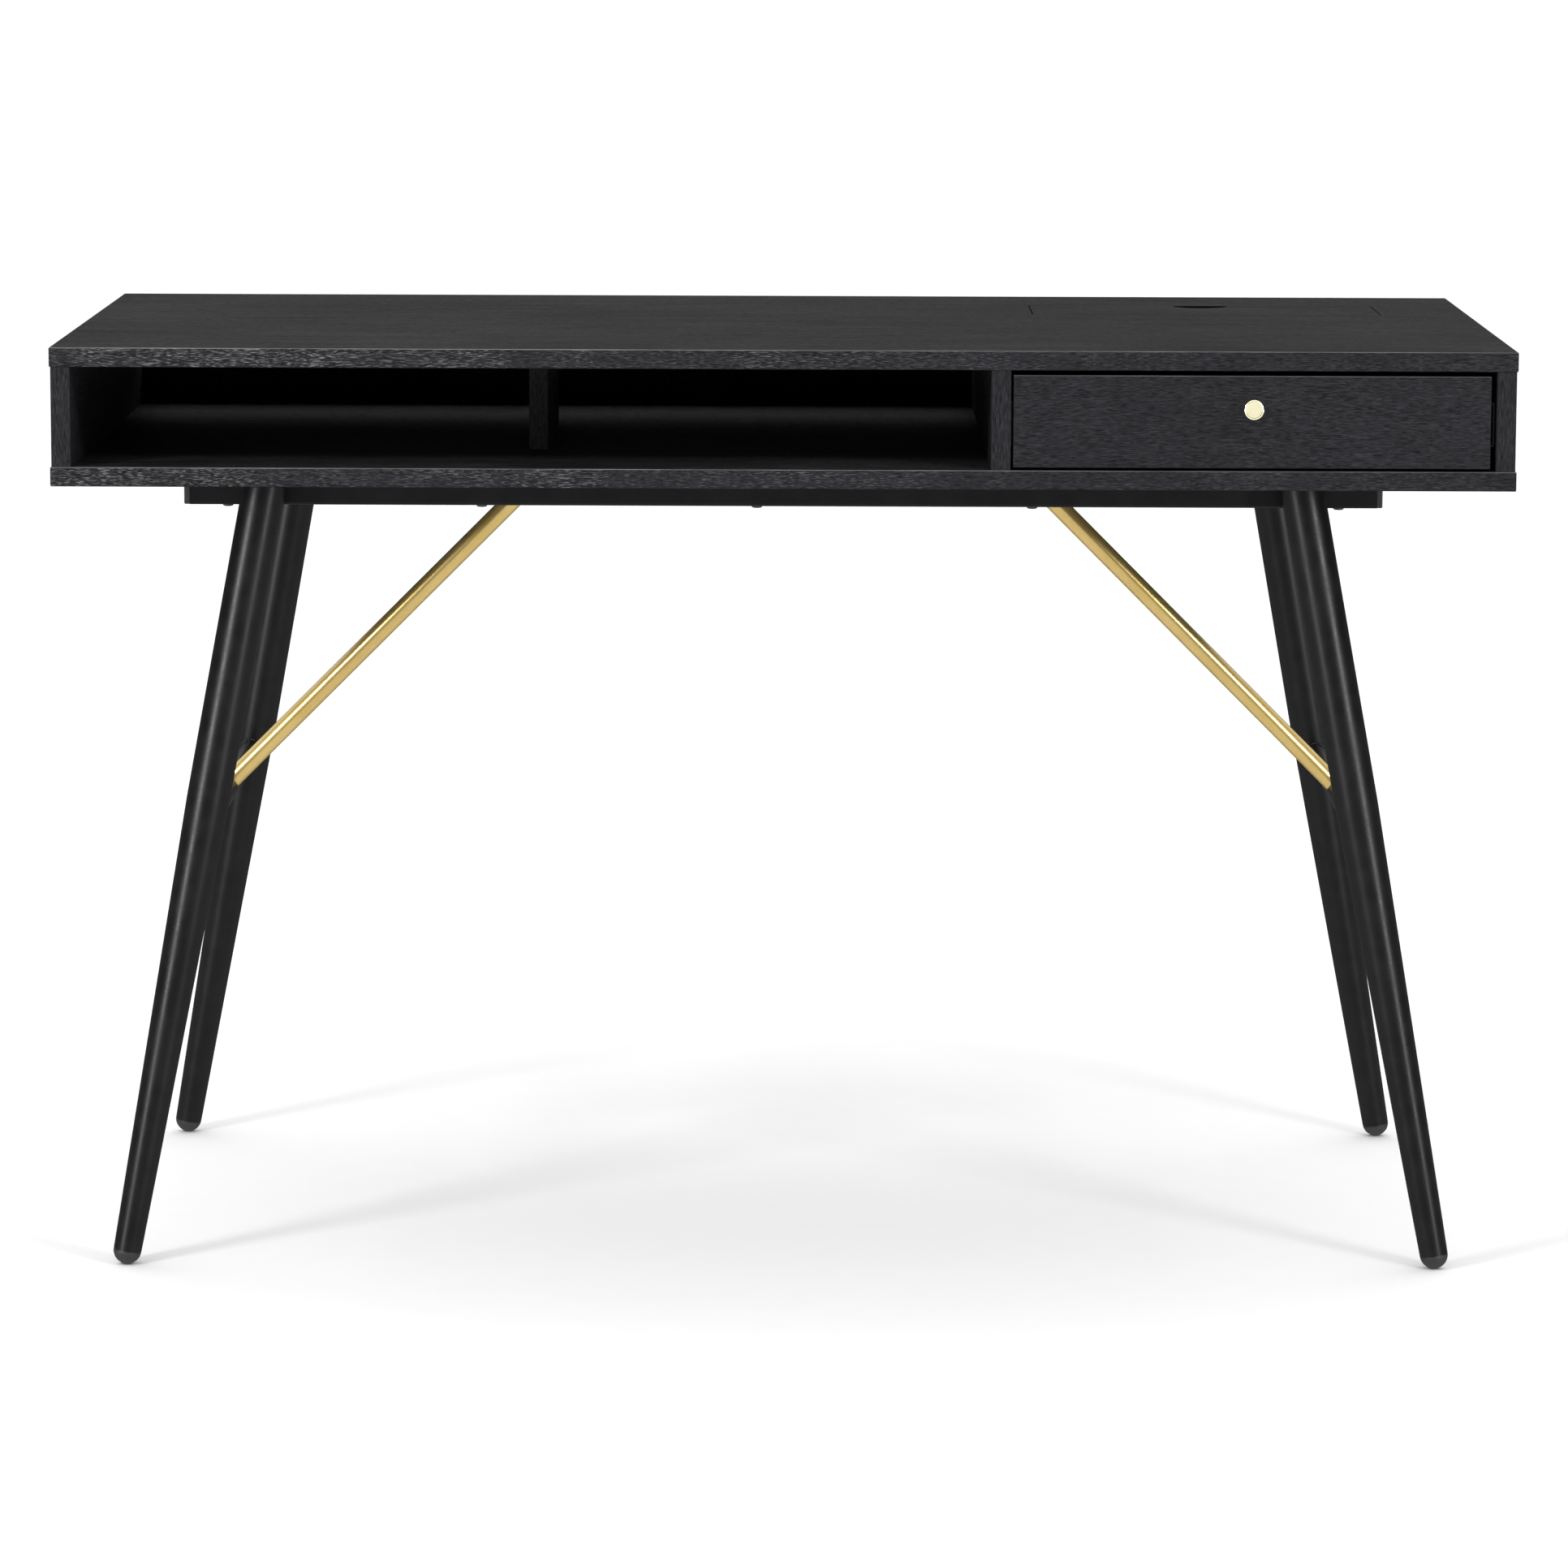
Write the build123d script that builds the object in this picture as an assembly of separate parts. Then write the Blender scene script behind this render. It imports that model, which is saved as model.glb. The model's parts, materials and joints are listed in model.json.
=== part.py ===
from build123d import *
import os
from math import hypot, sqrt

# A writing desk, in millimetres: +X right, +Y to the back, +Z up, floor at Z = 0.
# The origin is on the floor, under the middle of the desk with its knob.

# ---- driving dimensions -------------------------------------------------------------------
WIDTH = 1200.0
DEPTH = 600.0
HEIGHT = 770.0
BOARD = 16.0  # top, bottom, sides, dividers, drawer front and flap
THIN_BOARD = 12.0  # drawer box, partition and back panels
INNER_HEIGHT = 82.0  # clear height of the open shelf
SIDE_REVEAL = 1.0  # the sides and dividers stand this far inside the slabs' edges
EDGE_EASE = 1.0  # rounding of the boards' arrises

DRAWER_DIVIDER_X = 170.0  # left face of the divider beside the drawer
SHELF_DIVIDER_X = -214.5  # left face of the short divider in the open shelf
SHELF_DIVIDER_FRONT = 162.0  # behind the front edge
SHELF_DIVIDER_BACK = 408.0
BACK_RAIL_HEIGHT = 38.0  # low rail behind the open shelf
PARTITION_INSET = 5.0  # the partition stands this far in front of the flap
CABLE_OUTLET = (90.0, 34.0)  # rounded slot in the drawer bay's back
CABLE_OUTLET_RADIUS = 8.0

FLAP_LEFT, FLAP_RIGHT = 218.0, 522.0
FLAP_FRONT, FLAP_BACK = 393.0, 492.0  # behind the front edge
FLAP_GAP = 1.0
FLAP_NOTCH_RADIUS = 24.0
FLAP_PIVOT_INSET = 5.0  # pivot axis, behind the flap's front edge and below its top
FLAP_SWEEP_CLEARANCE = 0.8

DRAWER_GAPS = (2.0, 4.5, 4.0, 2.0)  # left, right, above and below the drawer front
DRAWER_RECESS = 2.0
DRAWER_BOX_LENGTH = 348.0
DRAWER_SIDE_LOW, DRAWER_SIDE_HIGH = 8.0, 66.0  # above the bottom slab
DRAWER_BOTTOM = 4.0
DRAWER_GROOVE = 5.0
KNOB_DIAMETER = 16.5
KNOB_PROJECTION = 22.0  # in front of the drawer front
KNOB_DROP = 26.0  # knob axis below the drawer front's top edge

RUNNER_WIDTH = 13.0  # gap between the case and the drawer box, each side
RUNNER_LENGTH = 340.0
RUNNER_SETBACK = 2.0  # behind the drawer front
RUNNER_SHORTER = 10.0  # the two moving members against the case member
RUNNER_SHEET = 1.2
RUNNER_HALF_HEIGHTS = (18.0, 13.8, 9.6)  # case, middle and drawer members
BALL_RADIUS = 1.2
BALLS_PER_ROW = 4
BALL_PITCH = 26.0

LEG_TOP = (429.5, 226.0)  # leg axis at the underside, from the case's middle
LEG_FOOT = (549.0, 275.0)  # leg axis at the floor
LEG_DIAMETER = 36.0
LEG_FOOT_DIAMETER = 23.5
LEG_TAPER_HEIGHT = 388.0  # the taper runs from here down to the foot
LEG_WALL = 1.5
LEG_PLATE = (56.0, 52.0, 3.0)
STRETCHER_DIAMETER = 18.0
STRETCHER_HEIGHT = 362.0
BRACE_DIAMETER = 16.0
TUBE_WALL = 1.5
BRACE_AIM_HEIGHT = 366.0  # the 45 degree brace axis over the stretcher's axis
BRACE_PLATE = (30.0, 60.0, 3.0)

RAIL_HEIGHT = 25.0
RAIL_DEPTH = 20.0
RAIL_SETBACK = 100.0  # rail face behind the front edge, and the same at the back
RAIL_HALF_LENGTH = 500.0
CROSS_RAIL_WIDTH = 30.0
END_PLUG = 4.5
END_PLUG_INSERT = 12.0
RAIL_SCREWS_X = (-464.0, -252.0, -22.0, 208.0, 464.0)

CASE_DOWEL_DEPTHS = (50.0, 300.0, 550.0)  # behind the front edge, in the full-depth uprights
SHELF_DOWEL_DEPTHS = (200.0, 370.0)
BAY_DOWEL_INSET = 60.0  # from the drawer bay's walls, in its partition and back
BACK_RAIL_DOWELS_X = (-520.0, -206.5, 107.0)
DOWEL_RADIUS = 3.0
THIN_DOWEL_RADIUS = 2.5  # in the drawer box
DOWEL_IN_SLAB = 10.0
DOWEL_IN_EDGE = 16.0
FIT = 0.05  # radial clearance of dowels, screws and plugs
BOLT_PLAY = 0.2  # radial clearance of a bolt or screw in steel
PLAY = 1.0  # a blind hole is this much deeper than its dowel, and a cut runs this far past a face
HALF_ROOT = sqrt(0.5)  # sine and cosine of 45 degrees
PAN_ROUNDING = 0.4  # a pan head's rounding, as a share of its height

# ---- places worked out from them ------------------------------------------------------------
KNOB_REACH = KNOB_PROJECTION - DRAWER_RECESS
FRONT_Y = KNOB_REACH / 2 - DEPTH / 2
MID_Y = FRONT_Y + DEPTH / 2
TOP_UNDER = HEIGHT - BOARD
FLOOR_TOP = TOP_UNDER - INNER_HEIGHT
UNDERSIDE = FLOOR_TOP - BOARD
SIDE_OUT = WIDTH / 2 - SIDE_REVEAL
SIDE_IN = SIDE_OUT - BOARD
BAY_LEFT = DRAWER_DIVIDER_X + BOARD
DRAWER_BACK = DRAWER_RECESS + BOARD + DRAWER_BOX_LENGTH
PARTITION = FLAP_FRONT - PARTITION_INSET - THIN_BOARD
BACK_PANEL = DEPTH - THIN_BOARD
RUNNER_START = DRAWER_RECESS + BOARD + RUNNER_SETBACK
RUNNER_Z = FLOOR_TOP + (DRAWER_SIDE_LOW + DRAWER_SIDE_HIGH) / 2
FLAP_PIVOT_Y = FRONT_Y + FLAP_FRONT + FLAP_PIVOT_INSET
FLAP_PIVOT_Z = HEIGHT - FLAP_PIVOT_INSET
RAIL_BOTTOM = UNDERSIDE - RAIL_HEIGHT
CROSS_RAIL_X = LEG_TOP[0] + (LEG_FOOT[0] - LEG_TOP[0]) * (1 - STRETCHER_HEIGHT / UNDERSIDE)
CROSS_RAIL_X -= RAIL_BOTTOM - BRACE_PLATE[2] - BRACE_AIM_HEIGHT


UP = (0, 0, 1)


# ---- helpers ---------------------------------------------------------------------------------
def board(x, d, z):
    """A square-edged board between two X values, two depths behind the front and two heights."""
    middle = ((x[0] + x[1]) / 2, FRONT_Y + (d[0] + d[1]) / 2, (z[0] + z[1]) / 2)
    return Pos(*middle) * Box(x[1] - x[0], d[1] - d[0], z[1] - z[0])


def ease(part, axis=None, radius=EDGE_EASE):
    """Round a board's edges: all of them, or those along one axis."""
    edges = part.edges() if axis is None else part.edges().filter_by(axis)
    return fillet(edges, radius)


def rod(start, end, radius):
    """A cylinder between two points."""
    axis = Vector(*end) - Vector(*start)
    return Plane(origin=start, z_dir=axis) * extrude(Circle(radius), axis.length)


def screw(at, direction, head_radius, head_height, shank_radius, length):
    """A pan-head screw: the head sits behind the point, the shank runs along the direction."""
    head = rod((0, 0, -head_height), (0, 0, 0), head_radius)
    rim = head.edges().group_by(Axis.Z)[0]
    shank = rod((0, 0, 0), (0, 0, length), shank_radius)
    return Plane(origin=at, z_dir=direction) * (fillet(rim, head_height * PAN_ROUNDING) + shank)


def screw_hole(at, direction, radius, length):
    """The hole that a screw's shank runs in, from just behind the face that it enters."""
    along = Vector(*direction).normalized()
    return rod(tuple(Vector(*at) - along * PLAY), tuple(Vector(*at) + along * length), radius)


def above(z):
    """Everything above a height, to cut a slanted tube off level."""
    return Pos(0, MID_Y, z + HEIGHT / 2) * Box(WIDTH, DEPTH, HEIGHT)


def group(solids):
    """Separate solids in one node."""
    return Compound(children=list(solids))


# ---- case joints -------------------------------------------------------------------------------
def joint_places():
    """Where dowels join each upright board to the slabs: board name to (x, depth) points."""
    half = BOARD / 2
    bay = (BAY_LEFT + BAY_DOWEL_INSET, SIDE_IN - BAY_DOWEL_INSET)
    return {
        "left_side_panel": [(-SIDE_IN - half, d) for d in CASE_DOWEL_DEPTHS],
        "right_side_panel": [(SIDE_IN + half, d) for d in CASE_DOWEL_DEPTHS],
        "drawer_divider": [(DRAWER_DIVIDER_X + half, d) for d in CASE_DOWEL_DEPTHS],
        "shelf_divider": [(SHELF_DIVIDER_X + half, d) for d in SHELF_DOWEL_DEPTHS],
        "cable_bay_partition": [(x, PARTITION + THIN_BOARD / 2) for x in bay],
        "drawer_bay_back_panel": [(x, BACK_PANEL + THIN_BOARD / 2) for x in bay],
        "cubby_back_rail": [(x, BACK_PANEL + THIN_BOARD / 2) for x in BACK_RAIL_DOWELS_X],
    }


def dowels(x, d, radius, play, top=True):
    """The lower and, unless the board stops short, the upper dowel at one place."""
    y = FRONT_Y + d
    low = (FLOOR_TOP - DOWEL_IN_SLAB - play, FLOOR_TOP + DOWEL_IN_EDGE + play)
    high = (TOP_UNDER - DOWEL_IN_EDGE - play, TOP_UNDER + DOWEL_IN_SLAB + play)
    spans = [low, high] if top else [low]
    return [rod((x, y, a), (x, y, b), radius) for a, b in spans]


def dowel_set(radius, play, names=None):
    """All the case dowels, or the holes for them, of the named boards."""
    out = []
    for name, places in joint_places().items():
        if names is None or name in names:
            for x, d in places:
                out += dowels(x, d, radius, play, top=name != "cubby_back_rail")
    return out


def drilled(part, name):
    """An upright board with its dowel holes."""
    return part - dowel_set(DOWEL_RADIUS + FIT, PLAY, (name,))


def case_dowels():
    return group(dowel_set(DOWEL_RADIUS, 0.0))


# ---- case boards ---------------------------------------------------------------------------------
def flap_pivot_rod(x0, x1, radius):
    """A cylinder on the flap's pivot axis."""
    return rod((x0, FLAP_PIVOT_Y, FLAP_PIVOT_Z), (x1, FLAP_PIVOT_Y, FLAP_PIVOT_Z), radius)


PIN_RADIUS, PIN_IN_FLAP, PIN_IN_BUSH = 2.5, 14.0, 12.0  # the ends run 1 mm free in the bushes
BUSH_RADIUS, BUSH_LENGTH = 4.0, 12.0


def flap_sides():
    """The opening's two ends as (x of the wall, outward direction, x of the flap's end)."""
    return ((FLAP_LEFT - FLAP_GAP, -1, FLAP_LEFT), (FLAP_RIGHT + FLAP_GAP, 1, FLAP_RIGHT))


def top_panel():
    """Top slab with the flap's opening, whose front wall is coved so that the flap can turn."""
    slab = ease(board((-WIDTH / 2, WIDTH / 2), (0, DEPTH), (TOP_UNDER, HEIGHT)))
    left, right = FLAP_LEFT - FLAP_GAP, FLAP_RIGHT + FLAP_GAP
    depths = (FLAP_FRONT - FLAP_GAP, FLAP_BACK + FLAP_GAP)
    opening = board((left, right), depths, (TOP_UNDER - PLAY, HEIGHT + PLAY))
    cove = flap_pivot_rod(left, right, FLAP_PIVOT_INSET * sqrt(2) + FLAP_SWEEP_CLEARANCE)
    bores = []
    for wall, side, _ in flap_sides():
        bores.append(flap_pivot_rod(wall, wall + side * (BUSH_LENGTH + PLAY), BUSH_RADIUS + FIT / 2))
    pilot = CLEAT_SCREW[3] - CLEAT_HEIGHT + PLAY
    pilots = [screw_hole(p, UP, CLEAT_SCREW[2] + FIT, pilot) for p in cleat_screw_places(TOP_UNDER)]
    return slab - opening - cove - bores - pilots - dowel_set(DOWEL_RADIUS + FIT, PLAY)


def bottom_panel():
    slab = ease(board((-WIDTH / 2, WIDTH / 2), (0, DEPTH), (UNDERSIDE, FLOOR_TOP)))
    leg_pilot = LEG_SCREW[3] - LEG_PLATE[2] + PLAY
    rail_pilot = RAIL_SCREW[3] - RAIL_HEIGHT + PLAY
    pilots = [screw_hole(p, UP, LEG_SCREW[2] + FIT, leg_pilot) for p in leg_screw_places(UNDERSIDE)]
    pilots += [screw_hole(p, UP, RAIL_SCREW[2] + FIT, rail_pilot) for p in rail_screw_places(UNDERSIDE)]
    return slab - dowel_set(DOWEL_RADIUS + FIT, PLAY) - pilots


def upright(name, x, d):
    """A full-height upright of the case, eased on its front and back arrises, drilled for dowels."""
    return drilled(ease(board(x, d, (FLOOR_TOP, TOP_UNDER)), Axis.Z), name)


def left_side_panel():
    return upright("left_side_panel", (-SIDE_OUT, -SIDE_IN), (SIDE_REVEAL, DEPTH))


def right_side_panel():
    panel = upright("right_side_panel", (SIDE_IN, SIDE_OUT), (SIDE_REVEAL, DEPTH))
    return panel - runner_screw_holes(SIDE_IN, 1)


def drawer_divider():
    x = (DRAWER_DIVIDER_X, BAY_LEFT)
    return upright("drawer_divider", x, (SIDE_REVEAL, DEPTH)) - runner_screw_holes(BAY_LEFT, -1)


def shelf_divider():
    x = (SHELF_DIVIDER_X, SHELF_DIVIDER_X + BOARD)
    return upright("shelf_divider", x, (SHELF_DIVIDER_FRONT, SHELF_DIVIDER_BACK))


def cubby_back_rail():
    """A low rail that stops things sliding off the back; cables pass over it."""
    x, z = (-SIDE_IN, DRAWER_DIVIDER_X), (FLOOR_TOP, FLOOR_TOP + BACK_RAIL_HEIGHT)
    rail = board(x, (BACK_PANEL, DEPTH), z)
    upper = rail.edges().filter_by(Axis.X).group_by(Axis.Z)[-1]
    return drilled(fillet(upper, EDGE_EASE), "cubby_back_rail")


def cable_bay_partition():
    panel = board((BAY_LEFT, SIDE_IN), (PARTITION, PARTITION + THIN_BOARD), (FLOOR_TOP, TOP_UNDER))
    return drilled(panel, "cable_bay_partition")


def drawer_bay_back_panel():
    """Back of the drawer bay, with a rounded slot for cables."""
    panel = board((BAY_LEFT, SIDE_IN), (BACK_PANEL, DEPTH), (FLOOR_TOP, TOP_UNDER))
    middle = ((FLAP_LEFT + FLAP_RIGHT) / 2, FRONT_Y + DEPTH, (FLOOR_TOP + TOP_UNDER) / 2)
    face = Plane(origin=middle, x_dir=(1, 0, 0), z_dir=(0, 1, 0))
    slot = extrude(RectangleRounded(*CABLE_OUTLET, CABLE_OUTLET_RADIUS), THIN_BOARD + PLAY, both=True)
    return drilled(panel - face * slot, "drawer_bay_back_panel")


# ---- cable flap ------------------------------------------------------------------------------------
CLEAT_LENGTH, CLEAT_WIDTH, CLEAT_HEIGHT = 116.0, 26.0, 12.0
CLEAT_LAP = 8.0  # how far a cleat reaches under the flap
CLEAT_SCREW_INSET = 20.0  # from the cleat's ends
CLEAT_SCREW_SETBACK = 17.0  # behind the cleat's front edge, clear of the opening
CLEAT_SCREW = (3.0, 2.0, 1.5, 19.0)  # head radius, head height, shank radius, length


def cleat_spans():
    """The two cleats' X spans, either side of the cable notch."""
    return ((FLAP_LEFT, FLAP_LEFT + CLEAT_LENGTH), (FLAP_RIGHT - CLEAT_LENGTH, FLAP_RIGHT))


def cleat_screw_places(z):
    """Points on the cleats' screw axes, behind the flap's opening."""
    y = FRONT_Y + FLAP_BACK - CLEAT_LAP + CLEAT_SCREW_SETBACK
    inset = CLEAT_SCREW_INSET
    return [(x, y, z) for a, b in cleat_spans() for x in (a + inset, b - inset)]


def flap_rest_cleats():
    """Two wooden cleats under the opening's back edge, which the closed flap lies on."""
    d = (FLAP_BACK - CLEAT_LAP, FLAP_BACK - CLEAT_LAP + CLEAT_WIDTH)
    z = (TOP_UNDER - CLEAT_HEIGHT, TOP_UNDER)
    places = cleat_screw_places(z[0])
    holes = [screw_hole(p, UP, CLEAT_SCREW[2] + FIT, CLEAT_HEIGHT + PLAY) for p in places]
    return group(board(x, d, z) - holes for x in cleat_spans())


def flap_cleat_screws():
    return group(screw(p, UP, *CLEAT_SCREW) for p in cleat_screw_places(TOP_UNDER - CLEAT_HEIGHT))


def flap_hinge_bushes():
    """Plastic sleeves let into the two ends of the flap's opening."""
    bushes = []
    for x, s, _ in flap_sides():
        sleeve = flap_pivot_rod(x, x + s * BUSH_LENGTH, BUSH_RADIUS)
        bushes.append(sleeve - flap_pivot_rod(x - s, x + s * (BUSH_LENGTH + PLAY), PIN_RADIUS + FIT))
    return group(bushes)


def flap_pivot_pins():
    """Steel pins driven into the flap's ends, turning in the bushes."""
    spans = [(end - side * PIN_IN_FLAP, end + side * PIN_IN_BUSH) for _, side, end in flap_sides()]
    return group(flap_pivot_rod(a, b, PIN_RADIUS) for a, b in spans)


def cable_flap():
    """The flap, with a half-round notch in its back edge for cables and a finger."""
    flap = board((FLAP_LEFT, FLAP_RIGHT), (FLAP_FRONT, FLAP_BACK), (TOP_UNDER, HEIGHT))
    x, y = (FLAP_LEFT + FLAP_RIGHT) / 2, FRONT_Y + FLAP_BACK
    notch = rod((x, y, TOP_UNDER - PLAY), (x, y, HEIGHT + PLAY), FLAP_NOTCH_RADIUS)
    bores = []
    for _, side, end in flap_sides():
        bores.append(flap_pivot_rod(end, end - side * (PIN_IN_FLAP + PLAY), PIN_RADIUS + FIT / 2))
    return flap - notch - bores


# ---- drawer ------------------------------------------------------------------------------------------
BOX_LEFT, BOX_RIGHT = BAY_LEFT + RUNNER_WIDTH, SIDE_IN - RUNNER_WIDTH
BOX_LOW, BOX_HIGH = FLOOR_TOP + DRAWER_SIDE_LOW, FLOOR_TOP + DRAWER_SIDE_HIGH
BOX_FRONT = DRAWER_RECESS + BOARD
BOTTOM_RISE = 6.0  # the drawer's bottom above the sides' lower edges
BOTTOM_LOW = BOX_LOW + BOTTOM_RISE
BACK_DROP = 4.0  # the back board's top edge below the sides'
BOX_DOWEL_RISE, BOX_DOWEL_DROP = 20.0, 12.0  # from the box's lower and upper edges
BOX_DOWELS_Z = (BOX_LOW + BOX_DOWEL_RISE, BOX_HIGH - BOX_DOWEL_DROP)
DOWEL_IN_SIDE = 8.0
DRAWER_X = (BAY_LEFT + DRAWER_GAPS[0], SIDE_IN - DRAWER_GAPS[1])
DRAWER_Z = (FLOOR_TOP + DRAWER_GAPS[3], TOP_UNDER - DRAWER_GAPS[2])
KNOB_X, KNOB_Z = (DRAWER_X[0] + DRAWER_X[1]) / 2, DRAWER_Z[1] - KNOB_DROP
KNOB_HEAD, KNOB_COLLAR, KNOB_NECK = 12.0, 5.0, 4.2  # head length, radii of the stem's two ends
KNOB_FLARE = 2.0  # length over which the stem widens into the head
KNOB_BEVEL = (1.0, 1.5)  # bevel behind the head's rim, inward and forward
KNOB_RIM = 1.2  # rounding of the face's rim
KNOB_THREAD, KNOB_THREAD_DEPTH = 2.0, 14.0
KNOB_SCREW = (4.0, 2.4, 1.95, 28.0)


def drawer_dowel_rods(radius, play):
    """Dowels from the box's sides into the drawer front, and from the back board into the sides."""
    rods = []
    y, back_y = FRONT_Y + BOX_FRONT, FRONT_Y + DRAWER_BACK - THIN_BOARD / 2
    for z in BOX_DOWELS_Z:
        for x in (BOX_LEFT + THIN_BOARD / 2, BOX_RIGHT - THIN_BOARD / 2):
            rods.append(rod((x, y - DOWEL_IN_SLAB - play, z), (x, y + DOWEL_IN_EDGE + play, z), radius))
        for x, side in ((BOX_LEFT + THIN_BOARD, 1), (BOX_RIGHT - THIN_BOARD, -1)):
            start = (x - side * (DOWEL_IN_SIDE + play), back_y, z)
            rods.append(rod(start, (x + side * (DOWEL_IN_EDGE + play), back_y, z), radius))
    return rods


def drawer_dowels():
    return group(drawer_dowel_rods(THIN_DOWEL_RADIUS, 0.0))


def drawer_holes():
    return drawer_dowel_rods(THIN_DOWEL_RADIUS + FIT, PLAY)


def bottom_groove():
    """The groove that takes the drawer's bottom, in the front and both sides."""
    z = (BOTTOM_LOW - FIT, BOTTOM_LOW + DRAWER_BOTTOM + FIT)
    x = (BOX_LEFT + THIN_BOARD - DRAWER_GROOVE, BOX_RIGHT - THIN_BOARD + DRAWER_GROOVE)
    return board(x, (BOX_FRONT - DRAWER_GROOVE, DRAWER_BACK + PLAY), z)


def drawer_front():
    front = ease(board(DRAWER_X, (DRAWER_RECESS, BOX_FRONT), DRAWER_Z))
    behind = FRONT_Y + BOX_FRONT + PLAY
    knob_hole = rod((KNOB_X, FRONT_Y, KNOB_Z), (KNOB_X, behind, KNOB_Z), KNOB_THREAD + BOLT_PLAY)
    return front - bottom_groove() - drawer_holes() - knob_hole


def drawer_side(x, wall_x, side):
    """One side of the drawer box; the runner's drawer member is screwed to its outer face."""
    panel = ease(board(x, (BOX_FRONT, DRAWER_BACK), (BOX_LOW, BOX_HIGH)), Axis.Y)
    return panel - bottom_groove() - drawer_holes() - runner_screw_holes(wall_x, side)


def drawer_left_side():
    return drawer_side((BOX_LEFT, BOX_LEFT + THIN_BOARD), BOX_LEFT, 1)


def drawer_right_side():
    return drawer_side((BOX_RIGHT - THIN_BOARD, BOX_RIGHT), BOX_RIGHT, -1)


def drawer_back():
    """Back of the box; the bottom runs in under it."""
    x = (BOX_LEFT + THIN_BOARD, BOX_RIGHT - THIN_BOARD)
    z = (BOTTOM_LOW + DRAWER_BOTTOM + FIT, BOX_HIGH - BACK_DROP)
    return board(x, (DRAWER_BACK - THIN_BOARD, DRAWER_BACK), z) - drawer_holes()


def drawer_bottom():
    x = (BOX_LEFT + THIN_BOARD - DRAWER_GROOVE + FIT, BOX_RIGHT - THIN_BOARD + DRAWER_GROOVE - FIT)
    d = (BOX_FRONT - DRAWER_GROOVE + FIT, DRAWER_BACK)
    return board(x, d, (BOTTOM_LOW, BOTTOM_LOW + DRAWER_BOTTOM))


def drawer_knob():
    """A turned knob: slim stem, round head with a softly broken rim, threaded from behind."""
    face, neck = KNOB_DIAMETER / 2, KNOB_PROJECTION - KNOB_HEAD
    outline = [(0, 0), (KNOB_COLLAR, 0), (KNOB_NECK, neck - KNOB_FLARE), (face - KNOB_BEVEL[0], neck)]
    outline += [(face, neck + KNOB_BEVEL[1]), (face, KNOB_PROJECTION), (0, KNOB_PROJECTION)]
    knob = revolve(Plane.XZ * make_face(Polyline(*outline, close=True)), Axis.Z)
    rim = knob.edges().group_by(Axis.Z)[-1]
    knob = fillet(rim, KNOB_RIM) - rod((0, 0, -PLAY), (0, 0, KNOB_THREAD_DEPTH), KNOB_THREAD)
    y = FRONT_Y + DRAWER_RECESS
    return Plane(origin=(KNOB_X, y, KNOB_Z), x_dir=(1, 0, 0), z_dir=(0, -1, 0)) * knob


def knob_screw():
    return screw((KNOB_X, FRONT_Y + BOX_FRONT, KNOB_Z), (0, -1, 0), *KNOB_SCREW)


# ---- drawer runners ----------------------------------------------------------------------------------
RUNNER_SCREW = (3.0, 1.3, 1.6, 10.0)
MIDDLE_SPAN = (3.4, 11.0)  # the middle member, out from the case's wall
CASE_FLANGE = 9.6
DRAWER_FLANGE = 5.6
RUNNER_SCREWS_AT = (30.0, 170.0, 310.0)  # behind the runner's front end
CAGE_STRIP = (4.0, 1.0)  # width and thickness
CAGE_PLAY = 0.1


def runner_screw_places(x, side):
    """Screw points of a runner member's web on a wall face at x; the screws point to the side."""
    web = x - side * RUNNER_SHEET
    return [(web, FRONT_Y + RUNNER_START + d, RUNNER_Z) for d in RUNNER_SCREWS_AT]


def runner_screw_holes(x, side):
    radius, reach = RUNNER_SCREW[2] + FIT, RUNNER_SCREW[3] + PLAY / 2
    return [screw_hole(p, (side, 0, 0), radius, reach) for p in runner_screw_places(x, side)]


def channel(web_x, flange_x, half_height, length, wall, side):
    """A C channel along Y; its web and flange ends are measured out from the case's wall."""
    into = -1 if web_x < flange_x else 1
    sheet, depths = RUNNER_SHEET, (RUNNER_START, RUNNER_START + length)
    strips = (
        (web_x - into * sheet, -half_height, half_height),
        (flange_x, half_height - sheet, half_height),
        (flange_x, -half_height, sheet - half_height),
    )
    section = []
    for end_x, low, high in strips:
        xs = sorted((wall + side * web_x, wall + side * end_x))
        section.append(board(xs, depths, (RUNNER_Z + low, RUNNER_Z + high)))
    return section[0] + section[1] + section[2]


def runner_walls(hand):
    """The case's wall beside a runner and the direction from it towards the drawer."""
    return (BAY_LEFT, 1) if hand == "left" else (SIDE_IN, -1)


def runner_case_member(hand):
    wall, side = runner_walls(hand)
    member = channel(0, CASE_FLANGE, RUNNER_HALF_HEIGHTS[0], RUNNER_LENGTH, wall, side)
    return member - runner_screw_holes(wall, -side)


def runner_middle_member(hand):
    wall, side = runner_walls(hand)
    return channel(*MIDDLE_SPAN, RUNNER_HALF_HEIGHTS[1], RUNNER_LENGTH - RUNNER_SHORTER, wall, side)


def runner_drawer_member(hand):
    wall, side = runner_walls(hand)
    length, half = RUNNER_LENGTH - RUNNER_SHORTER, RUNNER_HALF_HEIGHTS[2]
    member = channel(RUNNER_WIDTH, DRAWER_FLANGE, half, length, wall, side)
    return member - runner_screw_holes(wall + side * RUNNER_WIDTH, side)


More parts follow.
